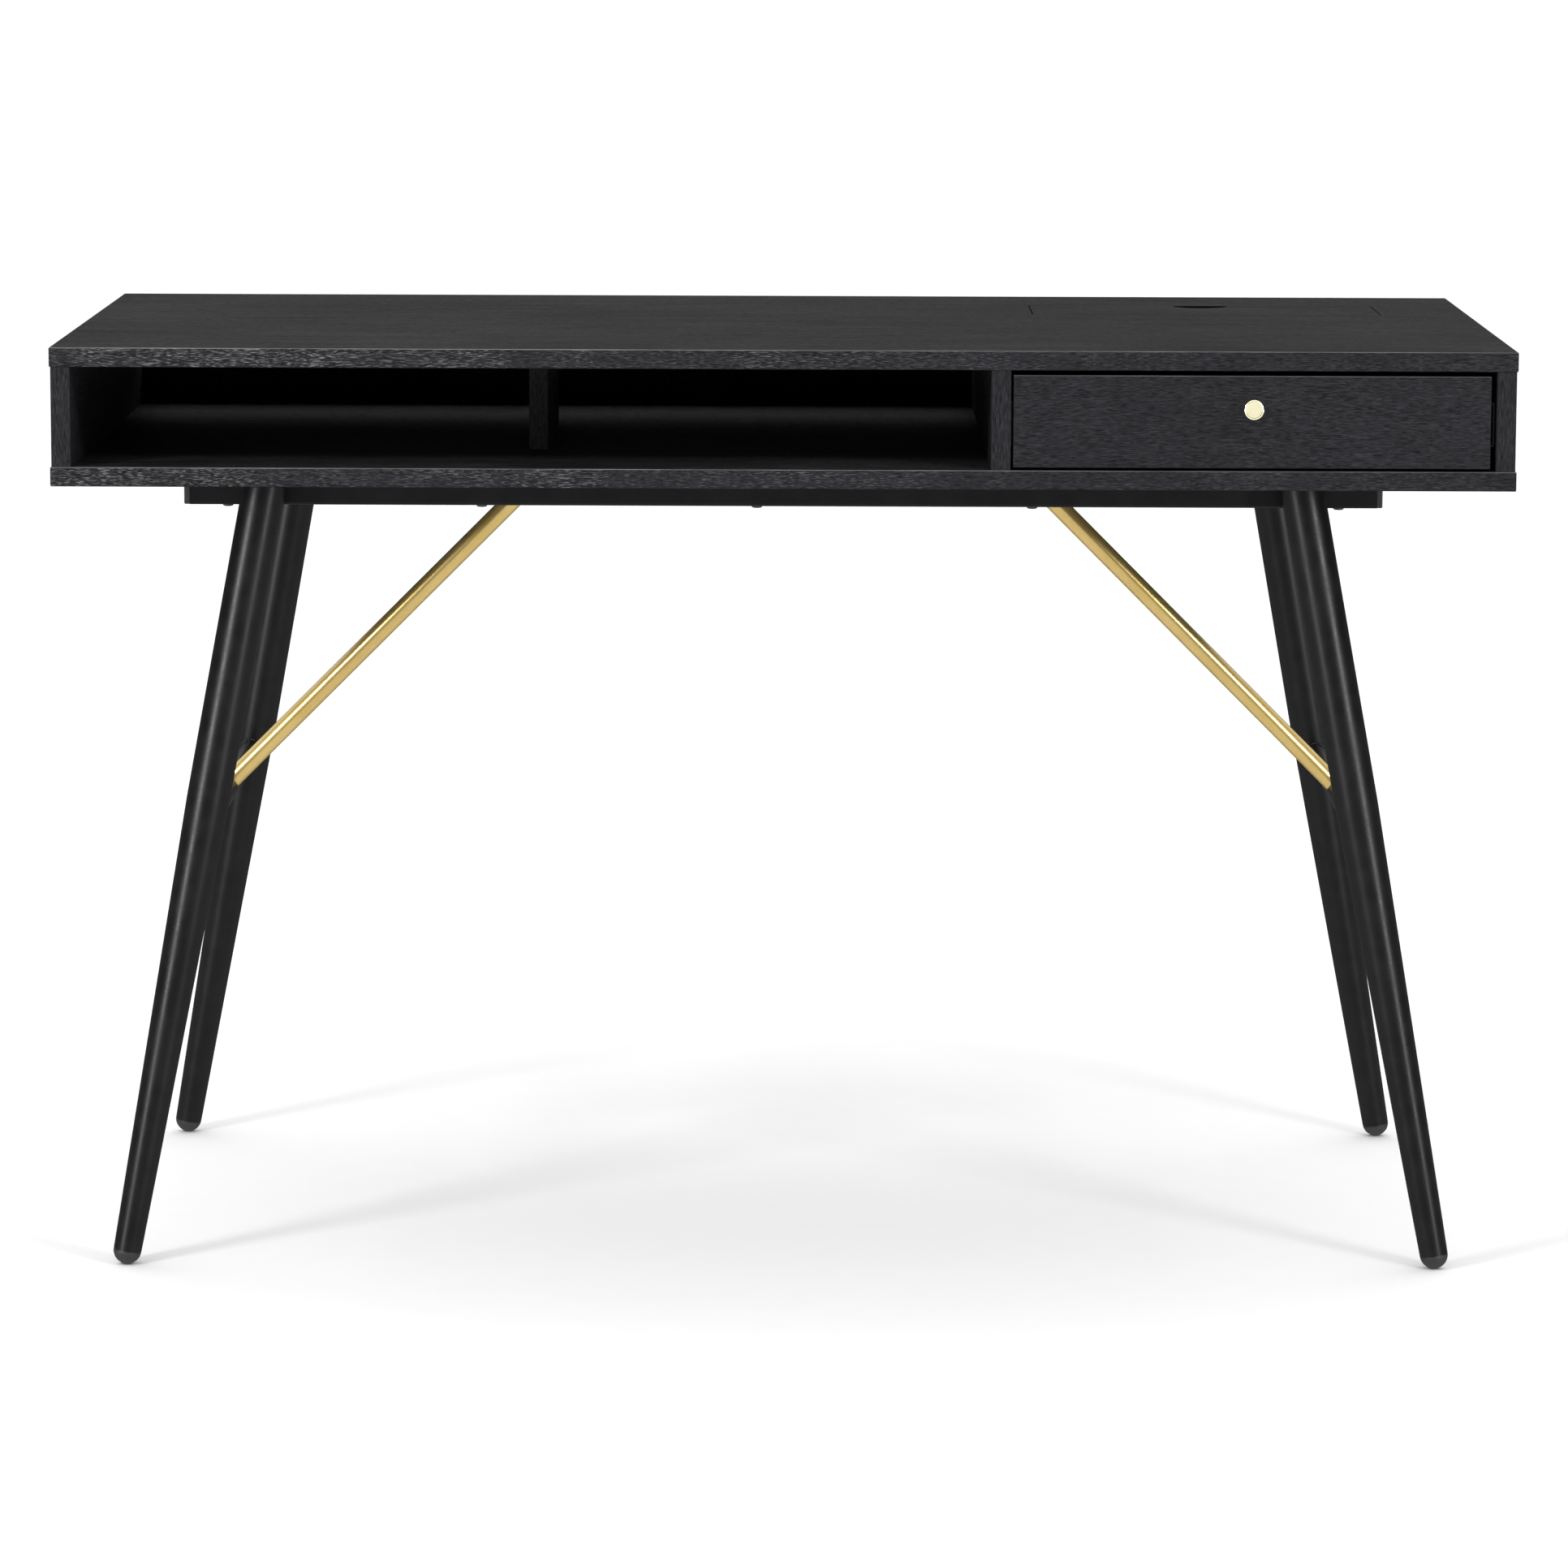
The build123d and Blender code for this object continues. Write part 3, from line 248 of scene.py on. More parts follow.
def ash(name, grain, dashes, pores, ridges, lift=1.0, painted_shade_board=None):
    """Black-stained open-pore ash: fine fibres and soft streaks, with dark pores and raised ridges. The
    level faces are darker, and the upright faces are painted lighter and violet: painted light from the
    front. The level faces' lighter tone can be raised as painted light. Light dashes in the grain carry a
    painted glint, and the upper arrises a painted highlight, both brightest at the left and fading to the
    right. The upright cut edges inside a named board are painted near black: painted shade in its seams
    and notch."""
    graph = Paint(name, Specular_IOR_Level=0.03)
    long_grain = grain_place(graph, grain, 14.0)
    short_grain = grain_place(graph, grain, 11.0)
    fibre = graph.noise(long_grain, 420.0, detail=3.0, roughness=0.62)
    streak = graph.noise(long_grain, 95.0, detail=3.0, roughness=0.55)
    cloud = graph.noise(graph.place, 5.0, detail=2.0)
    tone = graph.plus(graph.times(fibre, 0.52), graph.times(streak, 0.30))
    tone = graph.plus(tone, graph.times(cloud, 0.18))
    tone = graph.span(tone, 0.37, 0.63)
    # lift raises the level faces' lighter tone: painted light, used on the shelf slab for the light
    # through the back slot
    veneer = graph.mix(tone, STAIN_DARK, tuple(lift * part for part in STAIN_LIGHT))
    # painted light: the upright faces take these lighter, violet tones in place of cool light from the
    # front
    edge = graph.mix(graph.span(tone, 0.0, 1.0, 0.25, 0.75), UPRIGHT_LIT_DARK, UPRIGHT_LIT_LIGHT)
    _, _, z = graph.faces()
    level = graph.math("GREATER_THAN", z, SQUARE)
    stain = graph.mix(level, edge, veneer)
    ridge = graph.span(graph.noise(short_grain, 1500.0, detail=1.0), 0.50, 0.62)
    ridge = graph.times(ridge, graph.span(z, 0.3, 0.7, ridges, 0.0))
    stain = graph.mix(ridge, stain, RIDGE)
    sunk = graph.vector("ADD", short_grain, (2.3, 4.1, 0.9))
    pore = graph.span(graph.noise(sunk, 1500.0, detail=0.8), 0.56, 0.64)
    stain = graph.mix(graph.times(pore, pores), stain, PORE)
    lifted = graph.vector("ADD", long_grain, (3.1, 1.7, 5.3))
    dash = graph.span(graph.noise(lifted, 2500.0, detail=0.8), 0.57, 0.66)
    along, _, _ = graph.split(graph.place)
    dash_glint_patch = graph.span(graph.noise(graph.place, 16.0, detail=2.0), 0.35, 0.62, 0.25, 1.0)
    # painted glint: the dashes are strongest at the left and fade to the right, as the key light falls
    dash_glint_patch = graph.times(dash_glint_patch, graph.span(along, -0.60, 0.30, 1.0, 0.22))
    shown = graph.times(dash, dash_glint_patch)
    shown = graph.times(shown, graph.span(z, 0.3, 0.7, dashes, 0.04))
    stain = graph.mix(shown, stain, DASH_GLINT)
    # painted highlight: the upward arrises are lighter, most at the left where the key light falls,
    # broken up by a noise
    _, _, upward = graph.split(graph.facing)
    arris_highlight = graph.times(graph.arris(), graph.span(upward, 0.1, 0.4))
    arris_highlight = graph.times(arris_highlight, graph.span(along, -0.6, 0.6, 0.95, 0.45))
    highlight_breakup = graph.span(graph.noise(long_grain, 150.0, detail=2.0), 0.35, 0.6, 0.45, 1.0)
    stain = graph.mix(graph.times(arris_highlight, highlight_breakup), stain, ARRIS_HIGHLIGHT)
    # painted shade: the upright cut edges of the flap, its opening and its notch turn near black
    if painted_shade_board:
        stain = graph.mix(cut_edges(graph, painted_shade_board), stain, CUT_SHADE)
    rough = graph.plus(graph.span(fibre, 0.3, 0.7, 0.54, 0.66), graph.times(pore, 0.12))
    raised = graph.plus(graph.times(fibre, 0.8), shown)
    height = graph.math("SUBTRACT", graph.plus(raised, ridge), pore)
    return graph.finish(stain, rough, height, distance=0.00018, strength=0.8)


def drawer_board():
    """Black melamine with a faint printed grain along the board, and scuffed arrises."""
    graph = Paint("drawer_board", Specular_IOR_Level=0.3)
    grain = grain_place(graph, {"X": "Y", "Y": "X", "Z": "Y"}, 14.0)
    printed = graph.noise(grain, 240.0, detail=2.0)
    haze = graph.noise(graph.place, 14.0, detail=3.0)
    colour = graph.mix(graph.span(printed, 0.35, 0.65), grey(0.022), grey(0.034))
    colour = graph.mix(graph.times(graph.arris(), 0.4), colour, grey(0.075))
    rough = graph.span(haze, 0.3, 0.7, 0.42, 0.56)
    return graph.finish(colour, rough, graph.noise(graph.place, 1400.0, detail=1.0), 0.00003, 0.5)


def hardboard():
    """Painted hardboard: felted fibres under matt paint."""
    graph = Paint("hardboard", Specular_IOR_Level=0.3)
    felt = graph.noise(graph.place, 420.0, detail=4.0, roughness=0.7, distortion=1.2)
    haze = graph.noise(graph.place, 9.0, detail=3.0)
    colour = graph.mix(graph.span(felt, 0.35, 0.7), grey(0.020), grey(0.032, 0.02))
    colour = graph.mix(graph.span(haze, 0.45, 0.75, 0.0, 0.35), colour, grey(0.044, 0.05))
    return graph.finish(colour, graph.span(felt, 0.3, 0.7, 0.6, 0.78), felt, 0.00012, 0.6)


def beech():
    """Pale turned beech with short ray flecks."""
    graph = Paint("beech", Specular_IOR_Level=0.4)
    grain = grain_place(graph, {"X": "Z", "Y": "Z", "Z": "X"}, 10.0)
    ray = graph.noise(grain, 500.0, detail=2.0)
    colour = graph.mix(graph.span(ray, 0.4, 0.65), (0.62, 0.44, 0.27, 1), (0.48, 0.31, 0.17, 1))
    return graph.finish(colour, graph.span(ray, 0.3, 0.7, 0.5, 0.65), ray, 0.00005, 0.5)


# ---- metal and plastic ----------------------------------------------------------------------------
def black_steel():
    """Satin powder coat with a fine orange peel and slow changes of gloss."""
    graph = Paint("black_steel", Specular_IOR_Level=0.15)
    peel = graph.noise(graph.place, 700.0, detail=2.0, roughness=0.4)
    flow = graph.noise(graph.place, 55.0, detail=2.0)
    colour = graph.mix(graph.span(flow, 0.35, 0.65), grey(0.0035, -0.04), grey(0.0060, -0.04))
    dust = graph.times(graph.noise(graph.place, 18.0, detail=4.0), 0.25)
    colour = graph.mix(dust, colour, grey(0.008))
    rough = graph.gloss(flow, 0.33, 0.40, peel, 0.03)
    return graph.finish(colour, rough, peel, 0.00006, 0.5)


def brass():
    """Lacquered brass, brushed along the 45 degree tubes, a little darker in slow patches."""
    graph = Paint("brass", Metallic=0.6)
    x, y, z = graph.split(graph.place)
    out = graph.math("ABSOLUTE", x)
    along = graph.math("SUBTRACT", z, out)
    across = graph.plus(z, out)
    brushed = graph.join(graph.times(along, 0.02), across, y)
    line = graph.noise(brushed, 2600.0, detail=3.0, roughness=0.6)
    haze = graph.noise(graph.place, 22.0, detail=3.0, roughness=0.6)
    colour = graph.mix(graph.span(haze, 0.35, 0.68), (0.68, 0.49, 0.17, 1), (0.60, 0.42, 0.12, 1))
    colour = graph.mix(graph.span(line, 0.35, 0.65, 0.0, 0.20), colour, (0.76, 0.61, 0.30, 1))
    rough = graph.gloss(haze, 0.205, 0.225, line, 0.01)
    return graph.finish(colour, rough, line, 0.0000005, 0.15)


def polished_brass(middle):
    """The knob's pale polished brass, with the lathe's rings round its own axis."""
    graph = Paint("polished_brass", Metallic=1.0)
    out = graph.vector("MULTIPLY", graph.vector("SUBTRACT", graph.place, middle), (1, 0, 1))
    reach = graph.add("ShaderNodeVectorMath", {0: out}, output="Value", operation="LENGTH")
    ring = graph.noise(graph.join(reach, 0.0, 0.0), 2400.0, detail=2.0)
    haze = graph.noise(graph.place, 150.0, detail=3.0)
    colour = graph.mix(graph.span(haze, 0.35, 0.68), (0.99, 0.94, 0.66, 1), (0.97, 0.91, 0.60, 1))
    colour = graph.mix(graph.span(ring, 0.4, 0.65, 0.0, 0.3), colour, (0.99, 0.96, 0.72, 1))
    rough = graph.gloss(haze, 0.13, 0.17, ring, 0.02)
    return graph.finish(colour, rough, ring, 0.000002, 0.3)


def zinc_plate(name, low, high, line, metal):
    """Zinc plate, bright or passivated black, with drawing lines along Y and a faint haze."""
    graph = Paint(name, Metallic=metal)
    lines = graph.noise(graph.vector("MULTIPLY", graph.place, (1, 0.03, 1)), 1500.0, detail=3.0)
    haze = graph.noise(graph.place, 60.0, detail=4.0, roughness=0.65)
    colour = graph.mix(graph.span(haze, 0.35, 0.65), high, low)
    colour = graph.mix(graph.span(lines, 0.4, 0.7, 0.0, 0.3), colour, line)
    rough = graph.gloss(haze, 0.28, 0.40, lines, 0.04)
    return graph.finish(colour, rough, lines, 0.00001, 0.3)


def black_fasteners():
    """Black oxide: dark steel that shows a little of the metal."""
    graph = Paint("black_fasteners", Metallic=0.65)
    oxide = graph.noise(graph.place, 900.0, detail=3.0)
    colour = graph.mix(graph.span(oxide, 0.35, 0.65), grey(0.030, 0.02), grey(0.060, -0.02))
    return graph.finish(colour, graph.span(oxide, 0.3, 0.7, 0.32, 0.48), oxide, 0.00002, 0.4)


def moulded(name, low, high):
    """Moulded plastic with a fine spark-eroded grain."""
    graph = Paint(name, Specular_IOR_Level=0.4)
    grain = graph.noise(graph.place, 2200.0, detail=2.0)
    haze = graph.noise(graph.place, 70.0, detail=3.0)
    colour = graph.mix(graph.span(haze, 0.35, 0.65), low, high)
    return graph.finish(colour, graph.span(haze, 0.3, 0.7, 0.44, 0.56), grain, 0.00003, 0.6)


# the grain's axis on the faces that look along X, Y and Z
SLAB_GRAIN = {"X": "Y", "Y": "X", "Z": "X"}
UPRIGHT_GRAIN = {"X": "Y", "Y": "Z", "Z": "Y"}
FRONT_GRAIN = {"X": "Z", "Y": "X", "Z": "X"}

MATERIALS = {
    # the slab's upright cut edges get painted shade
    "slab": ash("ash_slab", SLAB_GRAIN, dashes=0.95, pores=0.70, ridges=0.35, painted_shade_board="top_panel"),
    # the shelf slab's level faces get their lighter tone raised 1.6 times: painted light on the cubby
    # floor
    "shelf_slab_painted_light": ash("ash_shelf_slab", SLAB_GRAIN, dashes=0.90, pores=0.75, ridges=0.30, lift=1.6),
    "upright": ash("ash_upright", UPRIGHT_GRAIN, dashes=0.10, pores=0.70, ridges=0.50),
    "front": ash("ash_front", FRONT_GRAIN, dashes=0.30, pores=0.75, ridges=0.50),
    "drawer_board": drawer_board(),
    "hardboard": hardboard(),
    "beech": beech(),
    "black_steel": black_steel(),
    "brass": brass(),
    "zinc_steel": zinc_plate("zinc_steel", grey(0.48, -0.02), grey(0.61, -0.02), grey(0.70), 1.0),
    "black_zinc": zinc_plate("black_zinc", grey(0.030, -0.03), grey(0.042, -0.03), grey(0.060), 0.85),
    "black_fasteners": black_fasteners(),
    "black_plastic": moulded("black_plastic", grey(0.016), grey(0.022)),
    "nylon": moulded("nylon", (0.70, 0.69, 0.64, 1), (0.78, 0.77, 0.73, 1)),
}
SLOTS = {name: node.material_slots[0].material.name for name, node in NODES.items()}

# the ash that each veneered board is given
BOARDS = {
    "top_panel": "slab",
    "bottom_panel": "shelf_slab_painted_light",
    "cable_flap": "slab",
    "flap_rest_cleats": "slab",
    "left_side_panel": "upright",
    "right_side_panel": "upright",
    "drawer_divider": "upright",
    "shelf_divider": "upright",
    "drawer_front": "front",
    "cubby_back_rail": "front",
    "cable_bay_partition": "front",
    "drawer_bay_back_panel": "front",
}


def dress_cad_nodes():
    """Gives every CAD node its finished material, with the grain that its board needs."""
    for name, node in NODES.items():
        slot = node.material_slots[0]
        slot.material = MATERIALS[BOARDS.get(name, slot.material.name)]


# ---- finer pieces, each in place of one CAD node ------------------------------------------------------
RING = 48  # points round a turned piece
THREAD_STEPS = 5  # rings to each turn of a thread
THREAD_SHARE = 0.3  # a thread's depth, as a share of its outer radius


def new_object(name, bm, material, smooth=True):
    """An object from a bmesh, which is freed."""
    mesh = bpy.data.meshes.new(name)
    bm.normal_update()
    bm.to_mesh(mesh)
    bm.free()
    mesh.materials.append(material)
    if smooth:
        mesh.shade_smooth()
        mesh.set_sharp_from_angle(angle=radians(38))
    made = bpy.data.objects.new(name, mesh)
    bpy.context.scene.collection.objects.link(made)
    return made


def stand_for(bm, node, material=None):
    """Shows a finished mesh in place of one CAD node."""
    piece = new_object(node + "_fine", bm, material or MATERIALS[SLOTS[node]])
    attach(piece, NODES[node]["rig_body"])
    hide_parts(node)


def add_to_frame(name, bm, slot):
    """A finished mesh that stands beside the CAD nodes of the fixed body."""
    piece = new_object(name, bm, MATERIALS[slot])
    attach(piece, "case")


def islands(node):
    """The points of each separate solid of a CAD node."""
    bm = bmesh.new()
    bm.from_mesh(NODES[node].data)
    bmesh.ops.remove_doubles(bm, verts=bm.verts, dist=1e-6)
    bm.verts.index_update()
    seen, groups = set(), []
    for start in bm.verts:
        if start.index in seen:
            continue
        seen.add(start.index)
        waiting, group = [start], []
        while waiting:
            vert = waiting.pop()
            group.append(vert.co.copy())
            for edge in vert.link_edges:
                other = edge.other_vert(vert)
                if other.index not in seen:
                    seen.add(other.index)
                    waiting.append(other)
        groups.append(group)
    bm.free()
    return groups


def extent(points, way):
    values = [point.dot(way) for point in points]
    return min(values), max(values)


def longest(points):
    """The axis along which the points reach furthest."""
    return max(AXES.values(), key=lambda way: extent(points, way)[1] - extent(points, way)[0])


def seat(points, axis):
    """The middle of a turned solid's thicker end, and the direction from it to the other end."""
    flat = axis.orthogonal().normalized()
    other = axis.cross(flat)
    middle = flat * sum(extent(points, flat)) / 2 + other * sum(extent(points, other)) / 2
    low, high = extent(points, axis)
    half = (low + high) / 2
    below = max((p - middle - axis * p.dot(axis)).length for p in points if p.dot(axis) < half)
    above = max((p - middle - axis * p.dot(axis)).length for p in points if p.dot(axis) > half)
    if below >= above:
        return middle + axis * low, axis
    return middle + axis * high, -axis


def lathe(bm, base, axis, rings, count=RING):
    """Turns rings of (distance along, radius) round an axis; a radius may depend on the angle."""
    turn = axis.to_track_quat("Z", "X")
    loops = []
    for distance, radius in rings:
        loop = []
        for step in range(count):
            angle = tau * step / count
            reach = radius(angle) if callable(radius) else radius
            point = Vector((reach * cos(angle), reach * sin(angle), distance))
            loop.append(bm.verts.new(base + turn @ point))
        loops.append(loop)
    for low, high in zip(loops, loops[1:]):
        for step in range(count):
            after = (step + 1) % count
            bm.faces.new((low[step], low[after], high[after], high[step]))
    bm.faces.new(reversed(loops[0]))
    bm.faces.new(loops[-1])


def cross_recess(reach, wing):
    """A cross recess as a radius by angle, from its wings' reach and half their width."""
    def outline(angle):
        turned = (angle + pi / 4) % (pi / 2) - pi / 4
        return min(reach / cos(turned), wing / max(abs(sin(turned)), wing / reach))
    return outline


def hex_socket(across):
    """A hexagon as a radius by angle, from its width across flats."""
    def outline(angle):
        return across / 2 / cos((angle + pi / 6) % (pi / 3) - pi / 6)
    return outline


def thread(distance, pitch, radius, taper):
    """A screw thread's outline at one distance along it."""
    def outline(angle):
        ridge = max(0.0, 1 - 2 * abs(2 * ((distance / pitch - angle / tau) % 1) - 1))
        return radius * taper * (1 - THREAD_SHARE + THREAD_SHARE * ridge)
    return outline


def screw_rings(head, height, shank, length, pitch, recess, depth):
    """A screw from the bottom of its recess, over its rounded head, along its thread to the tip."""
    rings = [(depth, lambda angle: 0.7 * recess(angle)), (0.0, recess), (0.0, 0.66 * head)]
    rings += [(0.12 * height, 0.84 * head), (0.36 * height, 0.96 * head), (0.70 * height, head)]
    rings += [(0.95 * height, head), (height, 0.97 * head), (height, shank * (1 - THREAD_SHARE))]
    steps = ceil((length - height) / pitch * THREAD_STEPS)
    for step in range(1, steps + 1):
        distance = height + (length - height) * step / steps
        taper = min(1.0, 0.3 + 0.7 * (length - distance) / (1.5 * pitch))
        rings.append((distance, thread(distance, pitch, shank, taper)))
    return rings


# head radius, head height, shank radius and pitch in mm; the length is the CAD screw's own
SCREWS = {
    "rail_screws": (4.5, 2.0, 2.0, 1.9),
    "leg_plate_screws": (4.0, 2.0, 2.0, 1.7),
    "brace_plate_screws": (5.0, 3.0, 2.5, 0.9),
    "flap_cleat_screws": (3.0, 2.0, 1.5, 1.5),
    "case_runner_screws": (3.0, 1.3, 1.6, 1.4),
    "drawer_runner_screws": (3.0, 1.3, 1.6, 1.4),
    "knob_screw": (4.0, 2.4, 1.95, 0.8),
    "brace_bolts": (5.0, 4.0, 3.0, 1.1),
}


def make_screws():
    """Every screw with its drive recess, rounded head and thread."""
    for node, sizes in SCREWS.items():
        head, height, shank, pitch = (size * MM for size in sizes)
        recess = cross_recess(0.52 * head, 0.15 * head)
        if node == "brace_bolts":
            recess = hex_socket(0.9 * head)
        bm = bmesh.new()
        for points in islands(node):
            axis = longest(points)
            if node == "brace_bolts":
                inward = -1 if points[0].x > 0 else 1
                axis = Vector((inward, 0, 1)).normalized()
            base, along = seat(points, axis)
            low, high = extent(points, axis)
            depth = 0.6 * height
            lathe(bm, base, along, screw_rings(head, height, shank, high - low, pitch, recess, depth))
        stand_for(bm, node)


def make_dowels():
    """Fluted beech dowels with chamfered ends."""
    chamfer, flute = 0.8 * MM, 0.22 * MM
    for node, radius in (("case_dowels", 3.0 * MM), ("drawer_dowels", 2.5 * MM)):
        def fluted(angle, r=radius):
            return r - flute * max(0.0, cos(12 * angle)) ** 2

        bm = bmesh.new()
        for points in islands(node):
            axis = longest(points)
            base, along = seat(points, axis)
            low, high = extent(points, axis)
            length = high - low
            rings = [(0.0, radius - chamfer), (chamfer, fluted), (length / 2, fluted)]
            lathe(bm, base, along, rings + [(length - chamfer, fluted), (length, radius - chamfer)])
        stand_for(bm, node)


# distance from the drawer front and radius, in mm
KNOB_PROFILE = (
    (14.0, 1.0), (13.2, 2.0), (0.4, 2.0), (0.0, 2.3),  # the threaded hole, from its bottom
    (0.0, 4.75), (0.25, 5.0), (0.9, 4.95), (1.5, 4.62), (4.0, 4.35), (7.0, 4.2),  # the stem
    (8.3, 4.35), (9.1, 4.95), (9.6, 5.9), (10.0, 7.0), (10.5, 7.6), (11.2, 8.05),  # the head's back
    (12.0, 8.25), (20.8, 8.25),  # its side
    (21.2, 8.17), (21.55, 7.96), (21.8, 7.65), (21.95, 7.3), (22.0, 6.95),  # its rounded rim
    (21.95, 6.75), (21.9, 6.6),  # the outside of its face
)
KNOB_FACE_RINGS = 26
KNOB_FACE_DIP = 0.002 * MM  # depth of the fine rings


def make_knob():
    """The turned knob: a stem with a threaded hole, a rounded rim and a finely ringed face."""
    low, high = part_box("drawer_knob")
    base = Vector(((low.x + high.x) / 2, high.y, (low.z + high.z) / 2))
    rings = [(distance * MM, radius * MM) for distance, radius in KNOB_PROFILE]
    last, reach = rings[-1]
    for step in range(1, KNOB_FACE_RINGS):
        dip = KNOB_FACE_DIP * (step % 2)
        rings.append((last - dip, reach * (1 - step / KNOB_FACE_RINGS)))
    bm = bmesh.new()
    lathe(bm, base, Vector((0, -1, 0)), rings, count=96)
    stand_for(bm, "drawer_knob", polished_brass(tuple(base)))


# ---- legs' ends and welds -----------------------------------------------------------------------------
FOOT_RADIUS = 11.75 * MM
LEG_RADIUS = 18.0 * MM
BRACE_RADIUS = 8.0 * MM
STRETCHER_RADIUS = 9.0 * MM
PLATE = 3.0 * MM  # thickness of the legs' and the braces' plates
LEG_PLATE_HALF = (28.0 * MM, 26.0 * MM)
BEAD = 1.0 * MM  # a weld bead's radius
CORNERS = {"front_left": (-1, -1), "front_right": (1, -1), "rear_left": (-1, 1), "rear_right": (1, 1)}


def outermost(box, signs):
    """The corner of a box on the given sides of the desk, at its foot."""
    low, high = box
    return Vector((high.x if signs[0] > 0 else low.x, high.y if signs[1] > 0 else low.y, low.z))


def leg_axis(corner):
    """The middle of a leg's ball foot, and the direction of the leg up from it."""
    sx, sy = CORNERS[corner]
    foot = outermost(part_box(corner + "_foot_glide"), (sx, sy))
    foot += Vector((-sx * FOOT_RADIUS, -sy * FOOT_RADIUS, FOOT_RADIUS))
    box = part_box(corner + "_leg")
    top = outermost(box, (-sx, -sy)) + Vector((sx * LEG_PLATE_HALF[0], sy * LEG_PLATE_HALF[1], 0))
    top.z = box[1].z
    return foot, (top - foot).normalized()


def make_glides():
    """Half-ball feet with a shadow groove under the leg and a ribbed spigot up inside it."""
    groove, spigot, ribbed = 11.25 * MM, 9.95 * MM, 17.5 * MM
    for corner in CORNERS:
        foot, up = leg_axis(corner)
        rings = []
        for step in range(1, 15):
            angle = radians(6 * step)
            rings.append((-FOOT_RADIUS * cos(angle), FOOT_RADIUS * sin(angle)))
        rings += [(-0.95 * MM, 11.70 * MM), (-0.85 * MM, groove), (-0.25 * MM, groove)]
        rings += [(-0.02 * MM, 11.6 * MM), (-0.02 * MM, spigot)]
        for rib in range(6):
            start = 2.5 * MM * rib + 1.5 * MM
            rings += [(start, spigot), (start + 1.2 * MM, spigot), (start + 1.4 * MM, spigot - 0.4 * MM)]
            rings.append((start + 2.2 * MM, spigot - 0.4 * MM))
        rings += [(ribbed, spigot - 0.5 * MM), (ribbed + 0.4 * MM, spigot - 1.2 * MM)]
        bm = bmesh.new()
        lathe(bm, foot, up, rings, count=64)
        stand_for(bm, corner + "_foot_glide")


def bead(bm, path, ripples):
    """A closed weld bead along a loop of points, rippled as it was laid."""
    around = 8
    count = len(path)
    middle = sum(path, Vector()) / count
    loops = []
    for index, point in enumerate(path):
        ahead = (path[(index + 1) % count] - path[index - 1]).normalized()
        out = (point - middle).normalized()
        out = (out - ahead * out.dot(ahead)).normalized()
        side = ahead.cross(out)
        ripple = 0.16 * sin(tau * ripples * index / count)
        drift = 0.06 * sin(tau * 3 * index / count)
        swell = BEAD * (1 + ripple + drift)
        loops.append([
            bm.verts.new(point + (out * cos(tau * k / around) + side * sin(tau * k / around)) * swell)
            for k in range(around)
        ])
    for index, loop in enumerate(loops):
        following = loops[(index + 1) % count]
        for k in range(around):
            bm.faces.new((loop[k], following[k], following[(k + 1) % around], loop[(k + 1) % around]))


def slanted_loop(middle, axis, radius, count):
    """Where a round tube passes through a level plane at a point of its axis."""
    points = []
    for step in range(count):
        way = Vector((cos(tau * step / count), sin(tau * step / count), 0))
        points.append(middle + way * radius / sqrt(1 - way.dot(axis) ** 2))
    return points


def surface_tree(node):
    bm = bmesh.new()
    bm.from_mesh(NODES[node].data)
    tree = BVHTree.FromBMesh(bm)
    bm.free()
    return tree


def make_welds():
    """Beads round the legs under their plates, round the stretchers' ends and round the braces' heads."""
    black, count = bmesh.new(), 240
    under_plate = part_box("front_left_leg")[1].z - PLATE
    for corner in CORNERS:
        foot, up = leg_axis(corner)
        bead(black, slanted_loop(foot + up * (under_plate - foot.z) / up.z, up, LEG_RADIUS, count), 48)
    for side in ("left", "right"):
        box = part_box(side + "_stretcher")
        level = (box[0].z + box[1].z) / 2
        ends = []
        for corner in ("front_" + side, "rear_" + side):
            foot, up = leg_axis(corner)
            ends.append(foot + up * (level - foot.z) / up.z)
        halfway = (ends[0] + ends[1]) / 2
        for end, corner in zip(ends, ("front_" + side, "rear_" + side)):
            tree = surface_tree(corner + "_leg")
            way = (end - halfway).normalized()
            across = way.orthogonal().normalized()
            upward = way.cross(across)
            path = []
            for step in range(count):
                angle = tau * step / count
                out = across * cos(angle) + upward * sin(angle)
                start = halfway + out * (STRETCHER_RADIUS + 0.2 * MM)
                path.append(tree.ray_cast(start, way)[0])
            bead(black, path, 26)
    add_to_frame("frame_weld_beads", black, "black_steel")
    gold = bmesh.new()
    for side, sign in (("left", -1), ("right", 1)):
        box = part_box(side + "_brace")
        level = box[1].z - PLATE
        axis = Vector((-sign, 0, 1)).normalized()
        bolt = [points for points in islands("brace_bolts") if points[0].x * sign > 0][0]
        start, _ = seat(bolt, axis)
        middle = start + axis * (level - start.z) / axis.z
        bead(gold, slanted_loop(middle, axis, BRACE_RADIUS, count), 30)
    add_to_frame("brace_weld_beads", gold, "brass")


# ---- light and stage --------------------------------------------------------------------------------
def area_light(name, at, target, size, power, sheen_only=False):
    data = bpy.data.lights.new(name, "AREA")
    data.shape = "RECTANGLE"
    data.size, data.size_y = size
    data.energy = power
    light = bpy.data.objects.new(name, data)
    aim = (Vector(target) - Vector(at)).to_track_quat("-Z", "Y")
    light.matrix_world = Matrix.Translation(at) @ aim.to_matrix().to_4x4()
    light.visible_diffuse = not sheen_only
    bpy.context.scene.collection.objects.link(light)


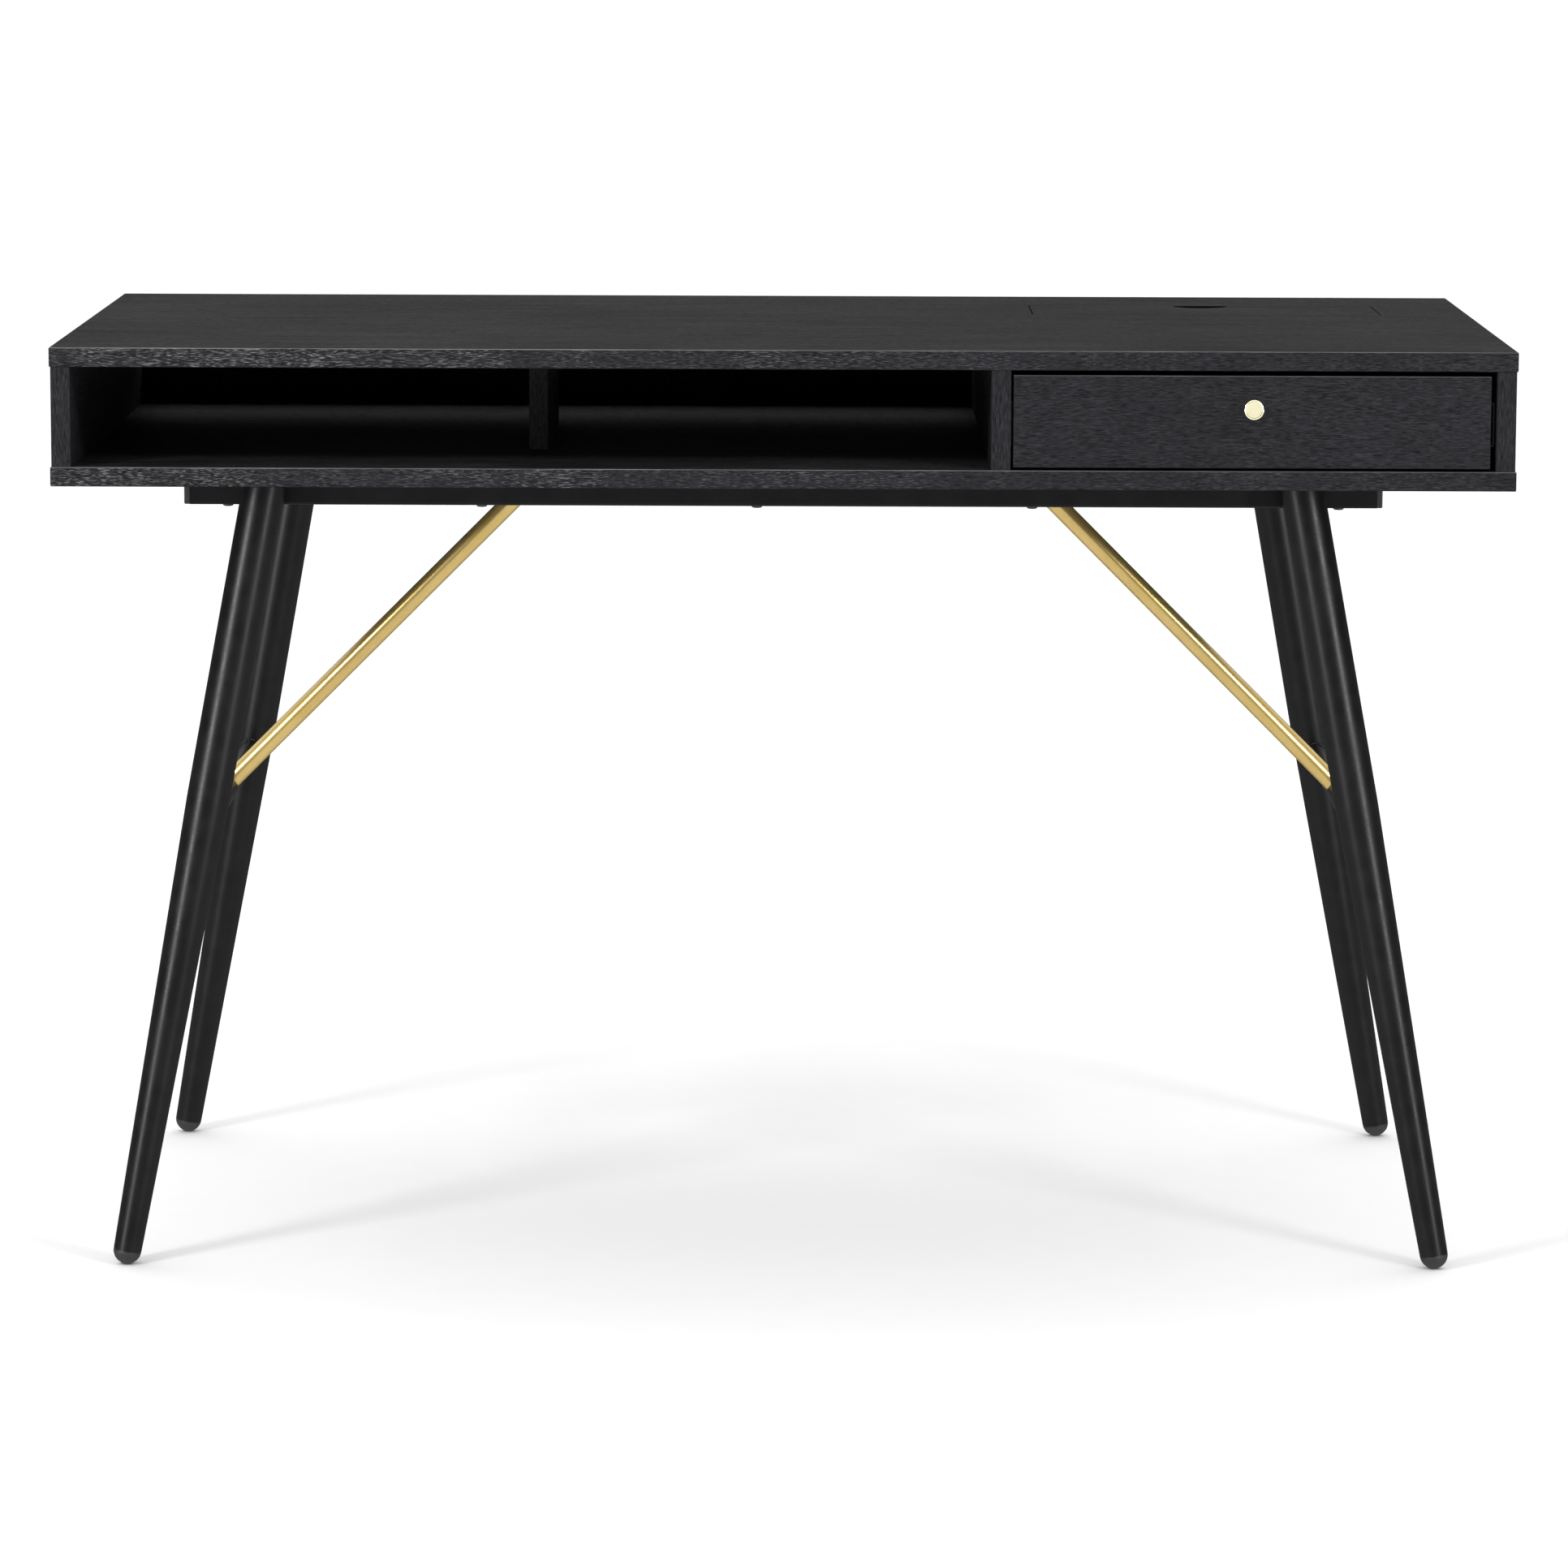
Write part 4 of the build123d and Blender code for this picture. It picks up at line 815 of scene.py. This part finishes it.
def make_world():
    """A studio dome: white to the camera, and otherwise bright overhead and high at the back, with
    dark walls all round, a low softbox in front and a pale floor below the horizon."""
    world = bpy.data.worlds.new("studio")
    bpy.context.scene.world = world
    world.use_nodes = True
    graph = Graph(world.node_tree)
    coordinates = graph.tree.nodes.new("ShaderNodeTexCoord")
    _, back, up = graph.split(coordinates.outputs["Generated"])
    overhead = graph.span(up, 0.35, 0.85, 0.10, 1.45)
    behind = graph.times(graph.span(back, 0.1, 0.6), graph.span(up, 0.25, 0.45))
    dome = graph.plus(overhead, graph.times(behind, 1.25))
    ground = graph.times(graph.span(up, -0.01, -0.06, 0.0, 0.95), graph.span(back, 0.0, 0.85, 1.0, 0.05))
    dome = graph.plus(dome, ground)
    softbox = graph.times(graph.span(back, -0.75, -0.85), graph.span(up, 0.16, 0.22))
    softbox = graph.times(softbox, graph.span(up, 0.42, 0.36))
    dome = graph.plus(dome, graph.times(softbox, 0.75))
    path = graph.tree.nodes.new("ShaderNodeLightPath")
    seen = graph.add("ShaderNodeMix", {0: path.outputs["Is Camera Ray"], 2: dome, 3: 1.0})
    background = graph.tree.nodes["Background"]
    background.inputs["Color"].default_value = (1, 1, 1, 1)
    graph.tree.links.new(seen, background.inputs["Strength"])


def make_stage():
    """A plain pale floor that runs out to the horizon, and is clear when looked at from below."""
    half = 40.0
    corners = ((-half, -half), (half, -half), (half, half), (-half, half))
    bm = bmesh.new()
    bm.faces.new([bm.verts.new((x, y, 0)) for x, y in corners])
    graph = Paint("floor_paper", Specular_IOR_Level=0.0)
    fleck = graph.noise(graph.place, 30.0, detail=3.0)
    colour = graph.mix(fleck, (0.84, 0.84, 0.84, 1), (0.86, 0.86, 0.86, 1))
    paper = graph.finish(colour, graph.span(fleck, 0.0, 1.0, 0.9, 1.0))
    see_through = graph.add("ShaderNodeBsdfTransparent", {})
    under = graph.tree.nodes.new("ShaderNodeNewGeometry").outputs["Backfacing"]
    one_sided = graph.add("ShaderNodeMixShader", {0: under, 1: graph.shader.outputs[0], 2: see_through})
    graph.tree.links.new(one_sided, graph.tree.nodes["Material Output"].inputs["Surface"])
    floor = new_object("floor", bm, paper, smooth=False)
    floor.visible_glossy = False


def make_lights():
    """Two small fills from above the front corners, and two tall strips seen only in what shines."""
    low, high = CAD_BOX
    middle = (low + high) / 2
    area_light("left_fill", (-2.2, -2.3, 2.5), middle, (0.6, 0.6), 41)
    area_light("right_fill", (2.1, -2.4, 2.5), middle, (0.6, 0.6), 30)
    area_light("left_sheen", (-2.7, -2.6, 1.1), middle, (0.34, 2.0), 175, sheen_only=True)
    area_light("right_sheen", (2.6, -2.8, 1.1), middle, (0.30, 2.0), 145, sheen_only=True)


# ---- everything ----------------------------------------------------------------------------------------
bpy.context.scene.view_settings.view_transform = "Standard"
make_camera()
make_world()
make_stage()
make_lights()
dress_cad_nodes()
make_screws()
make_dowels()
make_knob()
make_glides()
make_welds()
